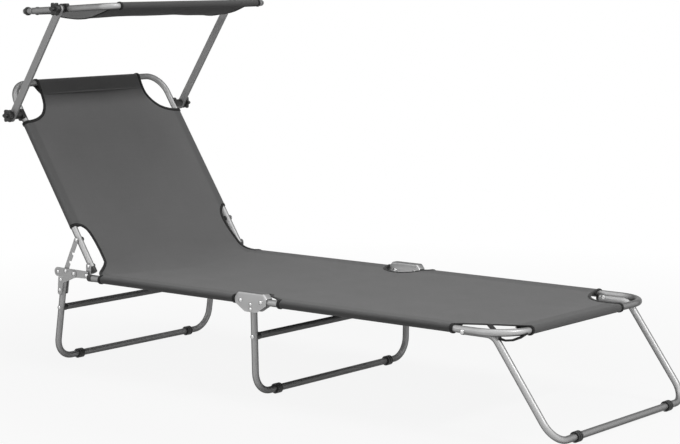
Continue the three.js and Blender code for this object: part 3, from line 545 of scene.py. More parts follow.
def flat_plate(piece, outline, face, thick, mat, holes=(), turn=None):
    """Plate standing lengthwise, filled between its outline and holes."""
    curve = bpy.data.curves.new("outline", "CURVE")
    curve.dimensions, curve.fill_mode, curve.extrude = "2D", "BOTH", thick / 2
    for loop in [outline, *holes]:
        spline = curve.splines.new("POLY")
        spline.points.add(len(loop) - 1)
        for spot, point in zip(spline.points, loop):
            spot.co = (point[0], point[1], 0.0, 1.0)
        spline.use_cyclic_u = True
    holder = bpy.data.objects.new("outline", curve)
    mesh = bpy.data.meshes.new_from_object(holder)
    bm = bmesh.new()
    bm.from_mesh(mesh)
    bmesh.ops.remove_doubles(bm, verts=bm.verts, dist=0.001)
    bmesh.ops.dissolve_limit(bm, angle_limit=0.01, verts=bm.verts, edges=bm.edges)
    for vert in bm.verts:
        x, z, y = vert.co
        spot = place(x, face + thick / 2 + y, z)
        vert.co = turn @ spot if turn else spot
    bmesh.ops.recalc_face_normals(bm, faces=bm.faces)
    verts = [v.co.copy() for v in bm.verts]
    faces = [[v.index for v in f.verts] for f in bm.faces]
    bm.free()
    bpy.data.objects.remove(holder)
    bpy.data.curves.remove(curve)
    bpy.data.meshes.remove(mesh)
    piece.add(verts, faces, mat)


# ---- poses of the turned parts
def turned(x, z, degrees):
    """Matrix that carries a flat-built part (about its own origin) to its pose."""
    rotation = Matrix.Rotation(math.radians(degrees), 4, "Y")
    return Matrix.Translation(place(x, 0, z)) @ rotation @ Matrix.Translation(-place(0, 0, 0))


def back_point(s, lift=0.0):
    """(x, z) on the backrest line, s from the hinge, lifted towards the sitter."""
    c, n = math.cos(BACK_ANGLE), math.sin(BACK_ANGLE)
    return (HINGE[0] - s * c + lift * n, HINGE[1] + s * n + lift * c)


BACK_POSE = turned(*HINGE, BACK_DEGREES)
PROP_PIVOT = back_point(PROP_S)
PROP_POSE = turned(*PROP_PIVOT, PROP_DEGREES)
ARM_PIVOT = back_point(ARM_S)
ARM_ANGLE = math.radians(ARM_DEGREES)
ARM_POSE = turned(*ARM_PIVOT, ARM_DEGREES)
CANOPY_PIVOT = (ARM_PIVOT[0] + ARM_LENGTH * math.cos(ARM_ANGLE), ARM_PIVOT[1] - ARM_LENGTH * math.sin(ARM_ANGLE))
CANOPY_POSE = turned(*CANOPY_PIVOT, CANOPY_DEGREES)
UP_THE_BACK = BACK_POSE.to_3x3() @ Vector((-1, 0, 0))


# ---- tubes
def tubes():
    rail = straight(place(RAIL_REAR, RAIL_Y, RAIL_Z), place(-20, RAIL_Y, RAIL_Z))
    pair(pipe("seat_rail_left_round", rail, STEEL), "seat_rail")

    (top_x, top_z), (low_x, low_z) = REAR_LEG_TOP, REAR_LEG_LOW
    (foot_x, foot_z), (floor_x, floor_z) = FOOT_LEG_TOP, FOOT_LEG_LOW
    rear, front = CANOPY_X
    canopy = [(rear, 0.3, 0), (rear, CANOPY_Y, 0, CANOPY_BEND), (front, CANOPY_Y, 0, CANOPY_BEND)]
    runs = {
        "foot_frame": u_points([(20, RAIL_Y, RAIL_Z), (FOOT_END, RAIL_Y, RAIL_Z, FOOT_BEND)]),
        "middle_leg": u_points([(0, RAIL_Y, 240), (0, 284, FLOOR_Z, 50)]),
        "rear_leg": u_points([(top_x, REAR_LEG_Y, top_z), (low_x, REAR_LEG_Y, low_z, 50)]),
        "foot_leg": u_points([
            (foot_x, FOOT_LEG_Y, foot_z), (650, FOOT_LEG_Y, foot_z, 34), (floor_x, FOOT_LEG_Y, floor_z, 48)]),
        "backrest_frame": moved(u_points([(BACK_TAIL, BACK_Y, 0), (-BACK_TOP, BACK_Y, 0, 53)]), BACK_POSE),
        "canopy_frame": moved(u_points(canopy), CANOPY_POSE),
    }
    for name, (x, leg_y, z, _) in CROSSBARS.items():
        reach = leg_y - TUBE - CROSSBAR_GAP
        runs[name] = straight(place(x, -reach, z), place(x, reach, z))
    # The foot's steel is a painted-light copy, and the crossbars' steel a painted-shade copy, of the same steel.
    looks = {"foot_frame": FOOT_STEEL_PAINTED_LIGHT, "foot_leg": FOOT_STEEL_PAINTED_LIGHT, **dict.fromkeys(CROSSBARS, BAR_STEEL_PAINTED_SHADE)}
    for name, points in runs.items():
        stand_for(pipe(name + "_round", points, looks.get(name, STEEL)).object(), name)


# ---- plastic parts
def feet():
    """Ribbed feet: three raised bands with grooves between them."""
    profile = [(8.4, -9.0), (10.6, -9.0)]
    for middle in (-6.6, 0.0, 6.6):
        profile += [(11.7, middle - 2.2), (12.0, middle - 1.7), (12.0, middle + 1.7), (11.7, middle + 2.2)]
        if middle < 6.0:
            profile += [(10.8, middle + 2.7), (10.8, middle + 3.9)]
    profile += [(10.6, 9.0), (8.4, 9.0), (8.4, -9.0)]
    spots = (("middle_foot", 0, 210), ("rear_foot", REAR_LEG_LOW[0], 199), ("foot_leg_foot", FOOT_LEG_LOW[0], 187))
    for name, x, spread in spots:
        lathed_pair(name + "_left_ribbed", name, profile, place(x, spread, FLOOR_Z), ACROSS, PLASTIC, 40)


def end_plug(node_name, centre, axis, skirt):
    """Plug in a tube's end, with a thin skirt that covers the last millimetres of the tube."""
    profile = [
        (5.8, -10), (5.8, 0.3), (8.1, 0.3), (8.1, -skirt), (8.45, -skirt),
        (8.5, 3.6), (7.8, 4.6), (6.2, 5.0), (3.0, 5.2), (0.0, 5.2)]
    lathed_pair(node_name + "_left_cap", node_name, profile, centre, axis, PLASTIC)


def plugs():
    rearward = (-1, 0, 0)
    end_plug("rail_end_plug", place(RAIL_REAR, RAIL_Y, RAIL_Z), rearward, 9)
    end_plug("foot_leg_plug", place(FOOT_LEG_TOP[0], FOOT_LEG_Y, FOOT_LEG_TOP[1]), rearward, 2)
    end_plug("backrest_plug", BACK_POSE @ place(BACK_TAIL, BACK_Y, 0), -UP_THE_BACK, 10)


def canopy_corners():
    """Short straight end and black cap at each rear corner of the canopy loop."""
    run = straight(place(-118, CANOPY_Y, 0), place(-136, CANOPY_Y, 0))
    end = pipe("canopy_corner_left_end", moved(run, CANOPY_POSE), STEEL)
    cap = Piece("canopy_corner_left_cap")
    profile = [(8.1, -3), (9.8, -3), (10.6, 0), (10.6, 4), (9.2, 6.6), (5.5, 7.6), (0.0, 8.0)]
    rearward = CANOPY_POSE.to_3x3() @ Vector((-1, 0, 0))
    lathe(cap, profile, CANOPY_POSE @ place(-135, CANOPY_Y, 0), rearward, PLASTIC)
    for piece, node_name in ((end, "canopy_frame"), (cap, "upper_clamp_left")):
        for made in (piece, piece.mirror()):
            beside(made.object(), "canopy_frame")


def crossbar_caps():
    """Saddle cap between crossbar and leg, with its screw head outside the leg."""
    seat = TUBE + 0.3
    for name, (x, leg_y, height, lean) in CROSSBARS.items():
        end = leg_y - TUBE - CROSSBAR_GAP
        rows = []
        for radius, along in ((5.8, end - 12), (5.8, end + 0.3), (8.4, end + 0.3), (8.8, end + 0.8), (8.8, None)):
            ring = []
            for angle in circle_angles(40):
                dx, dz = radius * math.cos(angle), radius * math.sin(angle)
                off = min(abs(dx - lean * dz), seat)
                saddle = min(leg_y - math.sqrt(seat ** 2 - off ** 2), leg_y - 0.3)
                ring.append(place(x + dx, saddle if along is None else along, height + dz))
            rows.append(ring)
        cap = Piece(name + "_cap_left_saddle")
        cap.surface(rows, PLASTIC, closed=True, flip=True)
        dome(cap, x, leg_y + seat, height, 1, height=2.0)
        pair(cap, name + "_cap")


def tube_clamp(node_name, pose, spread, rise=0.0):
    """Saddle on the tube's outer half with a round boss towards the arm and two ribs."""
    clamp = Piece(node_name + "_left_block")
    long, wide, rib = 13.0, 10.5, 1.2
    block = bar_outline(-long, long, rise - wide, rise + wide, 4)
    flat_plate(clamp, block, spread, wide, PLASTIC, turn=pose)
    for z in (-5.5, 5.5):
        bar = bar_outline(-long - 1, long + 1, z - rib, z + rib, 0.8)
        flat_plate(clamp, bar, spread + 0.6, wide - rib, PLASTIC, turn=pose)
    reach = ARM_FACE - 0.3 - spread - wide
    boss = [(10, 0), (10, reach - 0.8), (9.2, reach), (3.0, reach)]
    lathe(clamp, boss, pose @ place(0, spread + wide, 0), ACROSS, PLASTIC)
    pair(clamp, node_name, bevel=0.0008)


def knob(node_name, pivot):
    """Six-lobed star knob with a waisted hub, a dished face and its bolt end."""
    hub = [(3.0, -6.3), (3.0, 0.0), (8.6, 0.0), (9.0, 0.4), (8.4, 8.0)]
    disc = [(12.0, 8.3), (14.0, 8.8), (14.8, 9.8), (14.8, 15.6), (14.0, 16.8), (12.4, 17.4), (10.0, 17.4)]
    bolt = [(8.4, 16.2), (6.6, 15.8), (5.2, 16.0), (4.4, 17.4), (4.2, 22.2), (3.6, 23.0), (0.0, 23.0)]

    def lobes(angle, radius):
        return 2.4 * math.cos(6 * angle) * smooth((radius - 9.5) / 4.5)

    piece = Piece(node_name + "_left_star")
    foot = place(pivot[0], ARM_FACE + ARM_THICK + 0.3, pivot[1])
    lathe(piece, hub + disc + bolt, foot, ACROSS, PLASTIC, 96, lobes)
    pair(piece, node_name, sharp=50)


# ---- flat bars, hinges and brackets
PRESSED_EDGE = 0.00035      # bevel of the pressed plates, in metres
# Inner faces of the layers at the rear hinge along Y, from the bed outwards
INNER_WALL, STRAP_FACE, PROP_FACE, PLATE_FACE, OUTER_WALL = 266.4, 279.6, 280.6, 285.5, 287.8
BACK_SIDE = BACK_Y - TUBE - 0.3     # inner side of the backrest tube


def arms():
    arm = Piece("canopy_arm_left_flat_bar")
    outline = bar_outline(-17, ARM_LENGTH + 10, -10, 10, 9.7, 12)
    flat_plate(arm, outline, ARM_FACE, ARM_THICK, FLAT, turn=ARM_POSE)
    for x, z in (ARM_PIVOT, CANOPY_PIVOT):
        dome(arm, x, ARM_FACE + 0.2, z, -1, 4.0, 0.25)
    pair(arm, "canopy_arm", bevel=0.0012)


def prop():
    """Notched prop bar, with three hooks and a rolled tip."""
    corners = [(-96, 7, 6.6), (-96, -7, 3.3)]
    for notch in (87, 61.8, 37.4):
        rear, front = -notch - 3.5, -notch + 3.5
        corners += [(rear, -7, 1.0), (rear, -0.5, 3.4), (front, -0.5, 3.4), (front, -7, 1.2)]
    corners += [(7, -7, 6.6), (7, 7, 6.6)]
    piece = Piece("prop_left_notched")
    flat_plate(piece, rounded(corners, 6), PROP_FACE, 1.8, ZINC, holes=[hole(0, 0)], turn=PROP_POSE)
    pair(piece, "prop", bevel=0.0003)


def plain_pin(node_name, spot, from_y, to_y):
    piece = Piece(node_name + "_left_domed")
    pin(piece, spot, from_y, to_y)
    pair(piece, node_name)


def hinge():
    """Pressed hinge plate (a strap on the rail and an arm further out) and all the lounger's pins."""
    hooked = PROP_POSE @ place(-87, 0, -4)
    ratchet = (hooked.x / MM - SHIFT, hooked.z / MM)
    plate = Piece("hinge_plate_left_pressed")
    strap = rounded([
        (-502, 221, 5), (-502, 235, 5), (-540, 235, 5), (-540, 263, 7.7), (-556, 263, 7.7), (-556, 221, 5)])
    flat_plate(plate, strap, STRAP_FACE, PLATE, ZINC, holes=[hole(*HINGE)])
    arm = rounded([(-545, 225, 5), (-545, 243, 5), (-662.5, 244.5, 11.2), (-662.5, 221.5, 11.2)])
    flat_plate(plate, arm, PLATE_FACE, PLATE, ZINC, holes=[hole(*FOLD_PIN), hole(*ratchet)])
    spacer(plate, -551.5, 281.4, 232, 4.4)
    dome(plate, -551.5, PLATE_FACE + PLATE, 232, 1)
    dome(plate, -651, PLATE_FACE + PLATE, 233, 1)
    dome(plate, -651, PLATE_FACE, 233, -1, height=1.0)
    for x in (-508, -519):
        dome(plate, x, STRAP_FACE, RAIL_Z, -1, height=1.6)
    pair(plate, "hinge_plate", bevel=PRESSED_EDGE)

    plain_pin("backrest_pin", HINGE, BACK_SIDE, 281.9)
    x, z = ratchet
    hook = Piece("ratchet_pin_left_domed")
    shank(hook, x, 280.3, z, 8)
    dome(hook, x, PLATE_FACE + PLATE + 0.3, z, 1)
    collar = [(SHANK, 0), (HEAD, 0), (HEAD, 2.4), (SHANK, 2.4)]
    lathe(hook, collar, place(x, 282.7, z), ACROSS, RIVET, 24)
    pair(hook, "ratchet_pin")
    holder = Piece("prop_pin_left_domed")
    pin(holder, PROP_PIVOT, BACK_SIDE, 282.7)
    dome(holder, PROP_PIVOT[0], BACK_SIDE, PROP_PIVOT[1], -1, 6.4, 4.6, PLASTIC)
    pair(holder, "prop_pin")
    plain_pin("rear_leg_pin", FOLD_PIN, 285.2, 290.1)
    plain_pin("foot_leg_pin", FOOT_PIN, FOOT_LEG_Y - TUBE - 0.3, RAIL_Y + TUBE + 0.3)


def rear_bracket():
    """Two walls on the rear leg, riveted through it; the outer one reaches up to the fold pin."""
    (top_x, top_z), (low_x, low_z) = REAR_LEG_TOP, REAR_LEG_LOW
    slope = (top_x - low_x) / (top_z - low_z)

    def leg_x(height):
        return top_x - slope * (top_z - height)

    piece = Piece("rear_leg_bracket_left_pressed")
    rivets = [(leg_x(z), z) for z in (214, 188)]
    foot, foot_z, head = leg_x(176), 176, rivets[0][0]
    outer = rounded([
        (foot - 5, foot_z, 6), (foot + 8, foot_z, 6), (head + 8, 206, 10), (-585, 225, 6),
        (-585, 241, 6), (-601, 241, 6), (head - 8, 222, 6)])
    flat_plate(piece, outer, OUTER_WALL, PLATE, ZINC, holes=[hole(*FOLD_PIN)])
    inner = rounded([(foot - 8, foot_z, 6), (foot + 8, foot_z, 6), (top_x + 8, top_z, 6), (top_x - 8, top_z, 6)])
    flat_plate(piece, inner, INNER_WALL, PLATE, ZINC)
    for x, z in rivets:
        dome(piece, x, OUTER_WALL + PLATE, z, 1)
        dome(piece, x, INNER_WALL, z, -1, height=1.6)
        spacer(piece, x, REAR_LEG_Y + TUBE + 0.3, z, 2.8)
    pair(piece, "rear_leg_bracket", bevel=PRESSED_EDGE)


def middle_bracket():
    """Folded channel: side walls, rounded folds and a top web, one wall thick, with its rivets."""
    ramp_up = [(-46.5, 9.0), (-45.6, 11.0), (-39.6, 18.7), (-38.0, 19.8), (-36.0, 20.0)]
    tops = ramp_up + [(-18.0, 20.0), (0.0, 20.0), (18.0, 20.0)] + [(-x, z) for x, z in reversed(ramp_up)]
    ramp_down = [(-46.5, -5.0), (-45.4, -7.6), (-20.5, -23.4), (-16.5, -25.0)]
    bottoms = ramp_down + [(-x, z) for x, z in reversed(ramp_down)]
    rivet_x = 30.5
    wall, fold, thick = 10.4, 3.2, 1.6
    rows = []
    for x in sorted({x for x, _ in tops + bottoms} | {-rivet_x, rivet_x}):
        top, foot = curve_at(tops, x) - thick / 2, curve_at(bottoms, x)
        section = [(wall, foot), (wall, foot + (top - fold - foot) * 0.5), (wall, top - fold)]
        for angle in even(0, math.pi / 2, 6)[1:-1]:
            section.append((wall - fold + fold * math.cos(angle), top - fold + fold * math.sin(angle)))
        section += [(wall - fold, top), (0.0, top)]
        section += [(-y, z) for y, z in reversed(section[:-1])]
        rows.append([place(x, RAIL_Y + y, RAIL_Z + z) for y, z in section])
    piece = Piece("middle_bracket_left_folded")
    piece.surface(rows, ZINC)
    pair(piece, "middle_bracket", sharp=60, solid=thick * MM)

    heads = Piece("middle_bracket_left_rivets")
    half = wall + thick / 2
    for x, dz, head in ((-rivet_x, 0, HEAD), (rivet_x, 0, HEAD), (0, -7, 4.6), (0, -18, 4.6)):
        pin(heads, (x, RAIL_Z + dz), RAIL_Y - half, RAIL_Y + half, head)
    for made, node_name in ((heads, "middle_bracket_left"), (heads.mirror(), "middle_bracket_right")):
        beside(made.object(), node_name)


# ---- surface of the bed cloth
# u runs along the cloth from the crease between backrest and seat, towards the foot; y runs across.
CREASE_S = -27.6            # the crease along the backrest's line, from its hinge
CREASE = back_point(CREASE_S, CLOTH)
HALF_TURN = BACK_ANGLE / 2


def bed_frame(u, y):
    """Surface point (x, z) and normal (x, z) at u from the crease, before sag."""
    radius = 120.0 - 66.0 * smooth(abs(y) / 240.0)
    setback = radius * math.tan(HALF_TURN)
    if u <= -setback:
        return back_point(CREASE_S - u, CLOTH), (math.sin(BACK_ANGLE), math.cos(BACK_ANGLE))
    if u >= setback:
        return (CREASE[0] + u, RAIL_Z + CLOTH), (0.0, 1.0)
    psi = BACK_ANGLE * (1 - (u + setback) / (2 * setback))
    reach = radius / math.cos(HALF_TURN)
    centre = (CREASE[0] + reach * math.sin(HALF_TURN), CREASE[1] + reach * math.cos(HALF_TURN))
    return (centre[0] - radius * math.sin(psi), centre[1] - radius * math.cos(psi)), (math.sin(psi), math.cos(psi))


def sag(u, y):
    """How far the cloth hangs below its tubes: deepest mid-back and at the head, with soft folds."""
    s, x = CREASE_S - u, CREASE[0] + u
    spread = BACK_Y + (RAIL_Y - BACK_Y) * smooth((u + 60) / 120)
    across = max(0.0, 1 - (y / spread) ** 2)
    top = 1 - (1 - min(1.0, (BACK_TOP - s) / 50)) ** 1.5 if u < 0 else 1.0
    foot = 1 - (1 - min(1.0, (FOOT_END - x) / 170)) ** 2 if u > 0 else 1.0
    deep = 9.0 + 3.0 * math.exp(-((u + 300) / 130) ** 2) + 2.0 * smooth((s - 420) / 50)
    folds = noise.noise(Vector((u * 0.012, y * 0.006, 3.1))) * 1.6
    folds += noise.noise(Vector((u * 0.004 + y * 0.01, y * 0.02, 9.7))) * 0.9
    return (deep * across + folds * across ** 0.5) * top * foot


def end_pull(u, y):
    """How far the foot loop's bend draws the cloth's end back beyond the straight part of its tube."""
    beyond = max(0.0, abs(y) - (RAIL_Y - FOOT_BEND))
    back = FOOT_BEND - math.sqrt(FOOT_BEND ** 2 - min(beyond, FOOT_BEND) ** 2)
    return back * smooth((CREASE[0] + u - FOOT_END + 60) / 60)


def bed_point(u, y):
    (x, z), (nx, nz) = bed_frame(u, y)
    drop = sag(u, y)
    return place(x - drop * nx - end_pull(u, y), y, z - drop * nz)


def bed_normal(u, y):
    along = bed_point(u + 1, y) - bed_point(u - 1, y)
    return along.cross(bed_point(u, y + 1) - bed_point(u, y - 1)).normalized()


def tube_at(u, y):
    """Centre (x, z) of the tube under the cloth and the cloth's normal (x, z)."""
    (x, z), (nx, nz) = bed_frame(u, y)
    return (x - CLOTH * nx, z - CLOTH * nz), (nx, nz)


# ---- outline of the bed cloth
def u_of_s(s):
    return CREASE_S - s


def u_of_x(x):
    return x - CREASE[0]


def by_s(*points):
    return [(u_of_s(s), width) for s, width in points]


def by_x(*points):
    return [(u_of_x(x), width) for x, width in points]


# Half width of the cloth where it is cut away from the tubes, along the backrest by s and along the bed by x.
# Where the photograph shows the two sides to differ, far (left) and near (right) have lines of their own.
TOP_CUT = by_s(
    (520, 184), (500, 183.5), (482, 184), (468, 186), (456, 190), (445, 196), (435, 204),
    (426, 214), (419, 227), (414, 241), (411, 254), (409.6, 264), (409, 271))
HINGE_NEAR = by_s(
    (109, 271), (108.5, 265), (106, 254), (101, 246), (94, 240), (85, 236), (72, 233),
    (55, 230.5), (36, 229), (15, 229), (3, 229.5))
HINGE_NEAR += by_x(
    (-555, 230), (-548, 236), (-541, 244.5), (-534, 254), (-528, 263), (-522, 270.5), (-515, 277),
    (-506, 283), (-496, 290))
HINGE_FAR = by_s(
    (109, 271), (108, 266.5), (102.7, 261), (96, 255.2), (88.5, 251), (81.5, 249), (66.5, 248),
    (50.5, 250), (35, 252.5), (18.5, 257.5), (3, 262))
HINGE_FAR += by_x(
    (-555, 262.3), (-548, 264.5), (-541, 267), (-534, 269.5), (-528, 272.5), (-522, 276), (-515, 280),
    (-506, 284.5), (-496, 290))
BRACKET_REAR = by_x((-52, 290), (-51, 281), (-47, 268), (-40, 254), (-30, 242.5), (-17, 233), (0, 226.5))
BRACKET_FAR = by_x(
    (0, 226.5), (14, 223), (28, 224), (38, 230.5), (46, 240), (51, 251.5), (54, 264), (57, 274),
    (62, 280), (70, 284), (77, 286), (78, 290))
BRACKET_NEAR = by_x(
    (0, 226.5), (6, 235), (13, 245), (22, 254), (34, 262), (48, 270), (57, 275), (62, 281.5),
    (68, 286), (77, 289), (78, 290))
FOOT_NEAR = by_x(
    (562, 290), (564.5, 281), (571, 272.5), (584, 262), (602, 250.5), (624, 238.5), (648, 228),
    (672, 219.5), (690, 214.5), (700, 213))
FOOT_FAR = by_x(
    (562, 290), (563, 279), (567, 256), (575, 232), (586, 210), (600, 193), (618, 178), (642, 164),
    (668, 155), (700, 150))
HEAD_U, FOOT_U = u_of_s(BACK_TOP), u_of_x(FOOT_END)

# Sleeves as (u from, u to, distance of the tube from the middle, steps); they end 0.4 or 0.5 mm inside the cut-outs
BACK_SLEEVE = (u_of_s(408.6), u_of_s(109.4), BACK_Y, 14)
REAR_SEAT_SLEEVE = (u_of_x(-495.5), u_of_x(-300), RAIL_Y, 10)
SEAT_SLEEVE = (u_of_x(-300), u_of_x(-52.5), RAIL_Y, 10)
FOOT_SLEEVE = (u_of_x(78.5), u_of_x(561.5), RAIL_Y, 20)


def cut_run(far, near, extra=()):
    """u values with the half widths far and near, along two cut-out lines."""
    us = sorted({u for u, _ in far + near} | set(extra))
    return us, [curve_at(far, u) for u in us], [curve_at(near, u) for u in us]


def sleeved_run(sleeve, steps):
    """The same where the cloth reaches its sleeves."""
    start, end, width, _ = sleeve
    return even(start, end, steps), [width] * (steps + 1), [width] * (steps + 1)


def stations(runs):
    """All runs as one list of (u, far half width, near half width), with growing u."""
    out = []
    for run in runs:
        for u, far, near in zip(*run):
            if not out or u > out[-1][0] + 0.02 or abs(far - out[-1][1]) > 0.5:
                out.append((max(u, out[-1][0] + 0.02) if out else u, far, near))
    return out


# ---- pieces of the bed cloth
def panel(name, runs):
    """Cloth between the half widths at each station."""
    piece = Piece(name)
    piece.skin([[(bed_point(u, y), u, y) for y in even(-near, far, CLOTH_COLUMNS)]
                for u, far, near in stations(runs)], BED)
    return piece


def sleeve_profile(drop):
    """(outward, upward, length so far) from the tube's centre: over its top, round it and back to the seam."""
    spots = [(CLOTH * math.sin(a), CLOTH * math.cos(a)) for a in even(0, math.pi, 16)]
    spots += [(-FLAP * t, -CLOTH + (2 * CLOTH - 1.3 - drop) * t ** 1.5) for t in (0.12, 0.3, 0.5, 0.7, 0.86, 1.0)]
    run, last, out = 0.0, (0.0, CLOTH), []
    for spot in spots:
        run += math.dist(last, spot)
        last = spot
        out.append((*spot, run))
    return out


def side_sleeves(piece, sleeve):
    """Cloth round the side tubes and back under the panel."""
    start, end, spread, steps = sleeve
    for side in (1, -1):
        rows = []
        for u in even(start, end, steps):
            (cx, cz), (nx, nz) = tube_at(u, spread)
            rows.append([(place(cx + up * nx, side * (spread + out), cz + up * nz), u, side * (spread + run))
                         for out, up, run in sleeve_profile(sag(u, spread - FLAP))])
        piece.skin(rows, BED, side < 0)


def end_hem(piece, u_end, far, near, forward):
    """Cloth round the cross tube at one end and back under the panel."""
    (cx, cz), (nx, nz) = tube_at(u_end, 0)
    tx, tz = nz * forward, -nx * forward
    rows = []
    for out, up, run in sleeve_profile(4.0):
        x, z = cx + up * nx + out * tx, cz + up * nz + out * tz
        rows.append([(place(x - end_pull(u_end, y), y, z), u_end + forward * run, y)
                     for y in even(-near, far, CLOTH_COLUMNS)])
    piece.skin(rows, BED, forward < 0)


# ---- binding tape
RING_RADIUS, RING_RADIUS_AT_PROP = 9.6, 8.9     # of the tape round a sleeve's end
TAPE_SIDES = 14
TAPE_LIFT, TAPE_STEP = 0.0002, 0.0012   # in metres: above the cloth, and the least distance between points


def ribbon(piece, path, inner=6.4, outer=1.6, thick=1.5, slim=-9):
    """Flat tape along path of (point, normal, inward side), folded over the cloth's edge, thin up to point slim."""
    section = []
    for angle in circle_angles(TAPE_SIDES):
        c, s = math.cos(angle), math.sin(angle)
        w = (inner - outer) / 2 + (inner + outer) / 2 * math.copysign(abs(c) ** 0.6, c)
        section.append((w, thick * math.copysign(abs(s) ** 0.6, s)))
    rows, uvs, run = [], [], 0.0
    for i, (spot, normal, inward) in enumerate(path):
        if i:
            run += (spot - path[i - 1][0]).length
        full = 0.4 + 0.6 * smooth((i - slim) / 4)
        rows.append([spot + inward * (w * MM) + normal * (n * full * MM) for w, n in section])
        uvs += [(run, k * MM) for k in range(TAPE_SIDES)]
    piece.surface(rows, TAPE, uvs, closed=True, capped=True)


def with_sides(points, normals, hint):
    """Adds the inward side to each point, on the side that hint points to at the start."""
    out, sign = [], 0
    for point, normal, (tangent, _, _) in zip(points, normals, frames_along(points)):
        side = normal.cross(tangent).normalized()
        if not sign:
            sign = 1 if side.dot(hint) > 0 else -1
        out.append((point, normal, side * sign))
    return out


def ring_round(centre, outward, up, radius=RING_RADIUS):
    """Points and normals round a sleeve's end, from under the panel to its top."""
    angles = [math.radians(a) for a in even(-140, 84, 16)]
    normals = [outward * math.cos(a) + up * math.sin(a) for a in angles]
    return [centre + normal * (radius * MM) for normal in normals], normals


def side_ring(u, spread, side, radius=RING_RADIUS):
    (cx, cz), (nx, nz) = tube_at(u, spread)
    return ring_round(place(cx, side * spread, cz), Vector((0, side, 0)), Vector((nx, 0, nz)), radius)


def cross_ring(u, y, forward):
    (cx, cz), (nx, nz) = tube_at(u, 0)
    outward = Vector((nz * forward, 0, -nx * forward))
    return ring_round(place(cx - end_pull(u, y), y, cz), outward, Vector((nx, 0, nz)))


NO_RING = ([], [])


def bind(piece, first, cut, last, side, hint, slim=-9):
    """Tape round one sleeve's end, along the cut-out, and round the next sleeve's end."""
    points, normals = list(first[0]), list(first[1])
    for u, width in cut:
        inside = min(width, 280 if u > 0 else 262)      # where the cloth isn't yet on its tube
        normal = bed_normal(u, side * inside)
        points.append(bed_point(u, side * width) + normal * TAPE_LIFT)
        normals.append(normal)
    points += reversed(last[0])
    normals += reversed(last[1])
    keep = [0]
    for i in range(1, len(points)):
        if (points[i] - points[keep[-1]]).length > TAPE_STEP:
            keep.append(i)
    ribbon(piece, with_sides([points[i] for i in keep], [normals[i] for i in keep], hint), slim=slim)


def corner_strap(piece):
    """Black strap that passes under the foot loop at its near corner."""
    spots = [
        (624, -248, 236), (637, -254, 230), (651, -262, 221), (664, -268, 214),
        (676, -265, 211.5), (687, -255, 212), (697, -241, 217), (704, -228, 225)]
    points = [place(*spot) for spot in spots]
    path = with_sides(points, [Vector((0, 0, 1))] * len(points), Vector((-1, 1, 0)))
    ribbon(piece, path, inner=6.5, outer=6.5, thick=1.7)


# ---- bed cloth
def cloth_sheet(cloth, edges, covers):
    """One sheet with its binding, baked into the frame's space; hides the covers."""
    sheet = cloth.object(merge=0.02 * MM, sharp=60, solid=CLOTH_THICK)
    binding = edges.object(sharp=70)
    for obj in (sheet, binding):
        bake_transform(obj)
    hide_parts(*covers)


def back_sheet():
    """Backrest and rear half of the seat."""
    cloth = panel("bed_cloth_back", [
        cut_run(TOP_CUT, TOP_CUT, [u_of_s(s) for s in even(412, BACK_TOP, 18)]), sleeved_run(BACK_SLEEVE, 24),
        cut_run(HINGE_FAR, HINGE_NEAR), sleeved_run(REAR_SEAT_SLEEVE, 16)])
    head_width = TOP_CUT[0][1]
    end_hem(cloth, HEAD_U, head_width, head_width, -1)
    side_sleeves(cloth, BACK_SLEEVE)
    side_sleeves(cloth, REAR_SEAT_SLEEVE)
    edges = Piece("bed_binding_back")
    for side, cut in ((1, HINGE_FAR), (-1, HINGE_NEAR)):
        head = cross_ring(HEAD_U, side * head_width, -1)
        sleeve_top = side_ring(TOP_CUT[-1][0], BACK_Y, side)
        bind(edges, head, TOP_CUT[1:-1], sleeve_top, side, Vector((0, -side, 0)))
        sleeve_foot = side_ring(cut[0][0], BACK_Y, side, RING_RADIUS_AT_PROP)
        seat_sleeve = side_ring(cut[-1][0], RAIL_Y, side)
        bind(edges, sleeve_foot, cut[1:-1], seat_sleeve, side, UP_THE_BACK, slim=12)
    cloth_sheet(cloth, edges,
                ["backrest_cover"])


def seat_sheet():
    """Front half of the seat, to the middle of the brackets."""
    cloth = panel("bed_cloth_seat", [sleeved_run(SEAT_SLEEVE, 20), cut_run(BRACKET_REAR, BRACKET_REAR)])
    side_sleeves(cloth, SEAT_SLEEVE)
    edges = Piece("bed_binding_seat")
    for side in (1, -1):
        sleeve_end = side_ring(BRACKET_REAR[0][0], RAIL_Y, side)
        bind(edges, sleeve_end, BRACKET_REAR[1:], NO_RING, side, Vector((-1, 0, 0)))
    cloth_sheet(cloth, edges,
                ["seat_cover", "middle_cover"])


def foot_sheet():
    """Foot section, from the middle of the brackets."""
    cloth = panel("bed_cloth_foot", [
        cut_run(BRACKET_FAR, BRACKET_NEAR), sleeved_run(FOOT_SLEEVE, 36),
        cut_run(FOOT_FAR, FOOT_NEAR, [u_of_x(x) for x in even(562, FOOT_END, 24)])])
    end_hem(cloth, FOOT_U, FOOT_FAR[-1][1], FOOT_NEAR[-1][1], 1)
    side_sleeves(cloth, FOOT_SLEEVE)
    edges = Piece("bed_binding_foot")
    for side, bracket_cut, foot_cut in ((1, BRACKET_FAR, FOOT_FAR), (-1, BRACKET_NEAR, FOOT_NEAR)):
        sleeve_start = side_ring(bracket_cut[-1][0], RAIL_Y, side)
        bind(edges, NO_RING, bracket_cut[:-2], sleeve_start, side, Vector((0, -side, 0)))
        sleeve_end = side_ring(foot_cut[0][0], RAIL_Y, side)
        hem = cross_ring(FOOT_U, side * foot_cut[-1][1], 1)
        bind(edges, sleeve_end, foot_cut[1:-1], hem, side, Vector((-1, 0, 0)))
    corner_strap(edges)
    cloth_sheet(cloth, edges,
                ["foot_cover"])


# ---- canopy cloth
CANOPY_SAG = 33.0
CANOPY_HALF = 251.0         # half width of the cloth
CANOPY_FLAP = 40.0          # from the tube's centre to the flap's end


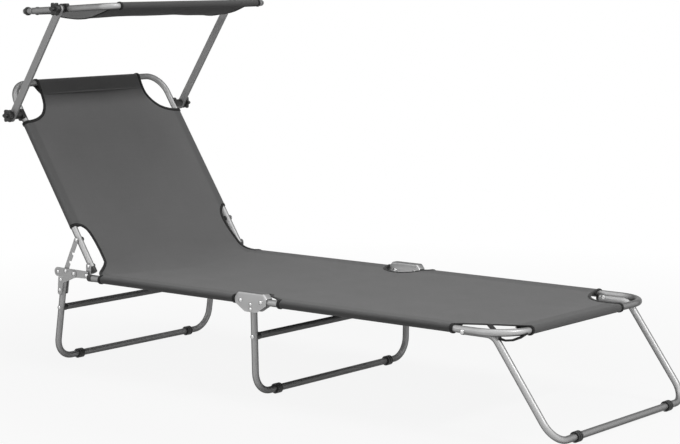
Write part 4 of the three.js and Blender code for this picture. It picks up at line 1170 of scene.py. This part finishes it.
def canopy_outline():
    """(x, z, share) along the canopy; share is 0 on the hems and up to 1 where the panel hangs free."""
    rear_x, front_x = CANOPY_X
    middle, half = (rear_x + front_x) / 2, (front_x - rear_x) / 2
    slope = math.atan(2 * CANOPY_SAG / half)
    lift, reach = CLOTH * math.cos(slope), half - CLOTH * math.sin(slope)
    hanging = []
    for i, t in enumerate(even(-1, 1, 28)):
        hanging.append((middle + reach * t, lift - CANOPY_SAG * (1 - t * t), math.sin(math.pi * i / 28) ** 0.8))
    hem = []
    for a in even(slope, slope - math.pi - 0.3, 14)[1:]:
        hem.append((rear_x + CLOTH * math.sin(a), CLOTH * math.cos(a)))
    (x, z), flap_x = hem[-1], rear_x + CANOPY_FLAP
    flap_z = lift - CANOPY_SAG * (1 - ((flap_x - middle) / reach) ** 2) - 1.3
    hem += [(x + (flap_x - x) * t, z + (flap_z - z) * t) for t in (0.25, 0.5, 0.75, 1.0)]
    rear = [(x, z, 0.0) for x, z in reversed(hem)]
    front = [(2 * middle - x, z, 0.0) for x, z in hem]
    return rear + hanging + front


def canopy_point(x, y, z, share):
    """The free part is drawn in at its sides, raised between them and slightly rippled."""
    narrowed = y * (CANOPY_HALF - 7.0 * share) / CANOPY_HALF
    ripple = noise.noise(Vector((x * 0.02, y * 0.012, 5.3))) * 2.2 * share
    return CANOPY_POSE @ place(x, narrowed, z + ripple + 3.5 * share * (1 - (y / CANOPY_HALF) ** 2))


def canopy_cloth():
    outline = canopy_outline()
    rows, run, last = [], 0.0, outline[0]
    for x, z, share in outline:
        run += math.dist((x, z), last[:2])
        last = (x, z)
        rows.append([(canopy_point(x, y, z, share), run, y) for y in even(-CANOPY_HALF, CANOPY_HALF, 56)])
    piece = Piece("canopy_cloth_sheet")
    piece.skin(rows, SHADE)
    cloth_obj = piece.object(sharp=70, solid=CLOTH_THICK)
    stand_for(cloth_obj, "canopy_cover")

    edges = Piece("canopy_binding")
    for side in (1, -1):
        points = [canopy_point(x, side * CANOPY_HALF, z, share) for x, z, share in outline[4:-4]]
        normals = [tangent.cross(Vector((0, -1, 0))).normalized() for tangent, _, _ in frames_along(points)]
        ribbon(edges, with_sides(points, normals, Vector((0, -side, 0))))
    tape_obj = edges.object(sharp=70)
    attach(tape_obj, "canopy")


# ---- stage
FLOOR_HALF = 14.0           # metres


def seen_rays(tree):
    """1 for rays that show the surroundings to the camera, in reflections or through glass."""
    path = node(tree, "ShaderNodeLightPath").outputs
    return highest(tree, path["Is Camera Ray"], path["Is Glossy Ray"], path["Is Transmission Ray"])


def mix_white(tree, kind, lit, share, output):
    """Mixes pure white into what is lit."""
    white = node(tree, kind, {"Color": grey(1.0), "Strength": 1.0})
    mixed = node(tree, "ShaderNodeMixShader", {0: share, 1: lit.outputs[0], 2: white.outputs[0]})
    tree.links.new(mixed.outputs[0], tree.nodes[output].inputs[0])


def floor():
    """White floor that keeps a faint shadow near the lounger."""
    mesh = bpy.data.meshes.new("floor")
    corners = [(x * FLOOR_HALF, y * FLOOR_HALF, 0) for x, y in ((-1, -1), (1, -1), (1, 1), (-1, 1))]
    mesh.from_pydata(corners, [], [(0, 1, 2, 3)])
    obj = linked("floor", mesh)
    mat, tree, shader = new_material("studio_floor", Roughness=0.9, Specular_IOR_Level=0.1, Base_Color=grey(0.5))
    where = node(tree, "ShaderNodeTexCoord").outputs["Object"]
    reach = node(tree, "ShaderNodeVectorMath", {0: where}, operation="LENGTH").outputs["Value"]
    share = calc(tree, "MULTIPLY", ramp(tree, reach, 0.7, 2.4, 0.9, 1.0), seen_rays(tree))
    mix_white(tree, "ShaderNodeEmission", shader, share, "Material Output")
    mesh.materials.append(mat)


def surroundings():
    """Dim white light, and a pure white background where it is seen."""
    world = bpy.data.worlds.new("studio")
    bpy.context.scene.world = world
    world.use_nodes = True
    tree = world.node_tree
    light = tree.nodes["Background"]
    light.inputs["Color"].default_value = grey(1.0)
    light.inputs["Strength"].default_value = 0.12
    mix_white(tree, "ShaderNodeBackground", light, seen_rays(tree), "World Output")


def lamp(name, spot, target, size, power):
    light = bpy.data.lights.new(name, "AREA")
    light.shape, light.size, light.size_y, light.energy = "RECTANGLE", size[0], size[1], power
    obj = linked(name, light)
    obj.location = spot
    obj.rotation_mode = "QUATERNION"
    obj.rotation_quaternion = (Vector(target) - Vector(spot)).to_track_quat("-Z", "Y")


def camera():
    """The photograph's viewpoint, fitted to the tubes and feet."""
    yaw, pitch, roll = 39.0, 7.284, -0.0939
    data = bpy.data.cameras.new("photo_camera")
    data.sensor_fit, data.sensor_width, data.lens = "HORIZONTAL", 36.0, 105.166
    data.clip_start, data.clip_end = 0.05, 60.0
    obj = linked("photo_camera", data)
    pose = Matrix.Translation((2.97953, -3.63900, 0.97977))
    for degrees, axis in ((yaw, "Z"), (90.0 - pitch, "X"), (roll, "Z")):
        pose = pose @ Matrix.Rotation(math.radians(degrees), 4, axis)
    obj.matrix_world = pose
    bpy.context.scene.camera = obj


tubes()
feet()
plugs()
canopy_corners()
crossbar_caps()
tube_clamp("lower_clamp", turned(*ARM_PIVOT, BACK_DEGREES), BACK_Y)
tube_clamp("upper_clamp", CANOPY_POSE, CANOPY_Y, 2.5)
knob("lower_knob", ARM_PIVOT)
knob("upper_knob", CANOPY_PIVOT)
arms()
prop()
hinge()
rear_bracket()
middle_bracket()
back_sheet()
seat_sheet()
foot_sheet()
canopy_cloth()
for slot in frame["nodes"]["canopy_spigot"].material_slots:
    slot.material = STEEL

floor()
surroundings()
lamp("overhead", (0.2, 0.4, 3.0), (0.0, 0.0, 0.3), (2.0, 2.0), 22.0)
lamp("front", (5.06, 0.2, 4.57), (-0.7, 0.0, 0.5), (2.2, 0.8), 212.0)
lamp("near_fill", (-0.5, -2.2, 1.05), (-0.1, 0.0, 0.5), (2.2, 0.8), 12.0)
camera()

bpy.context.scene.view_settings.view_transform = "Standard"
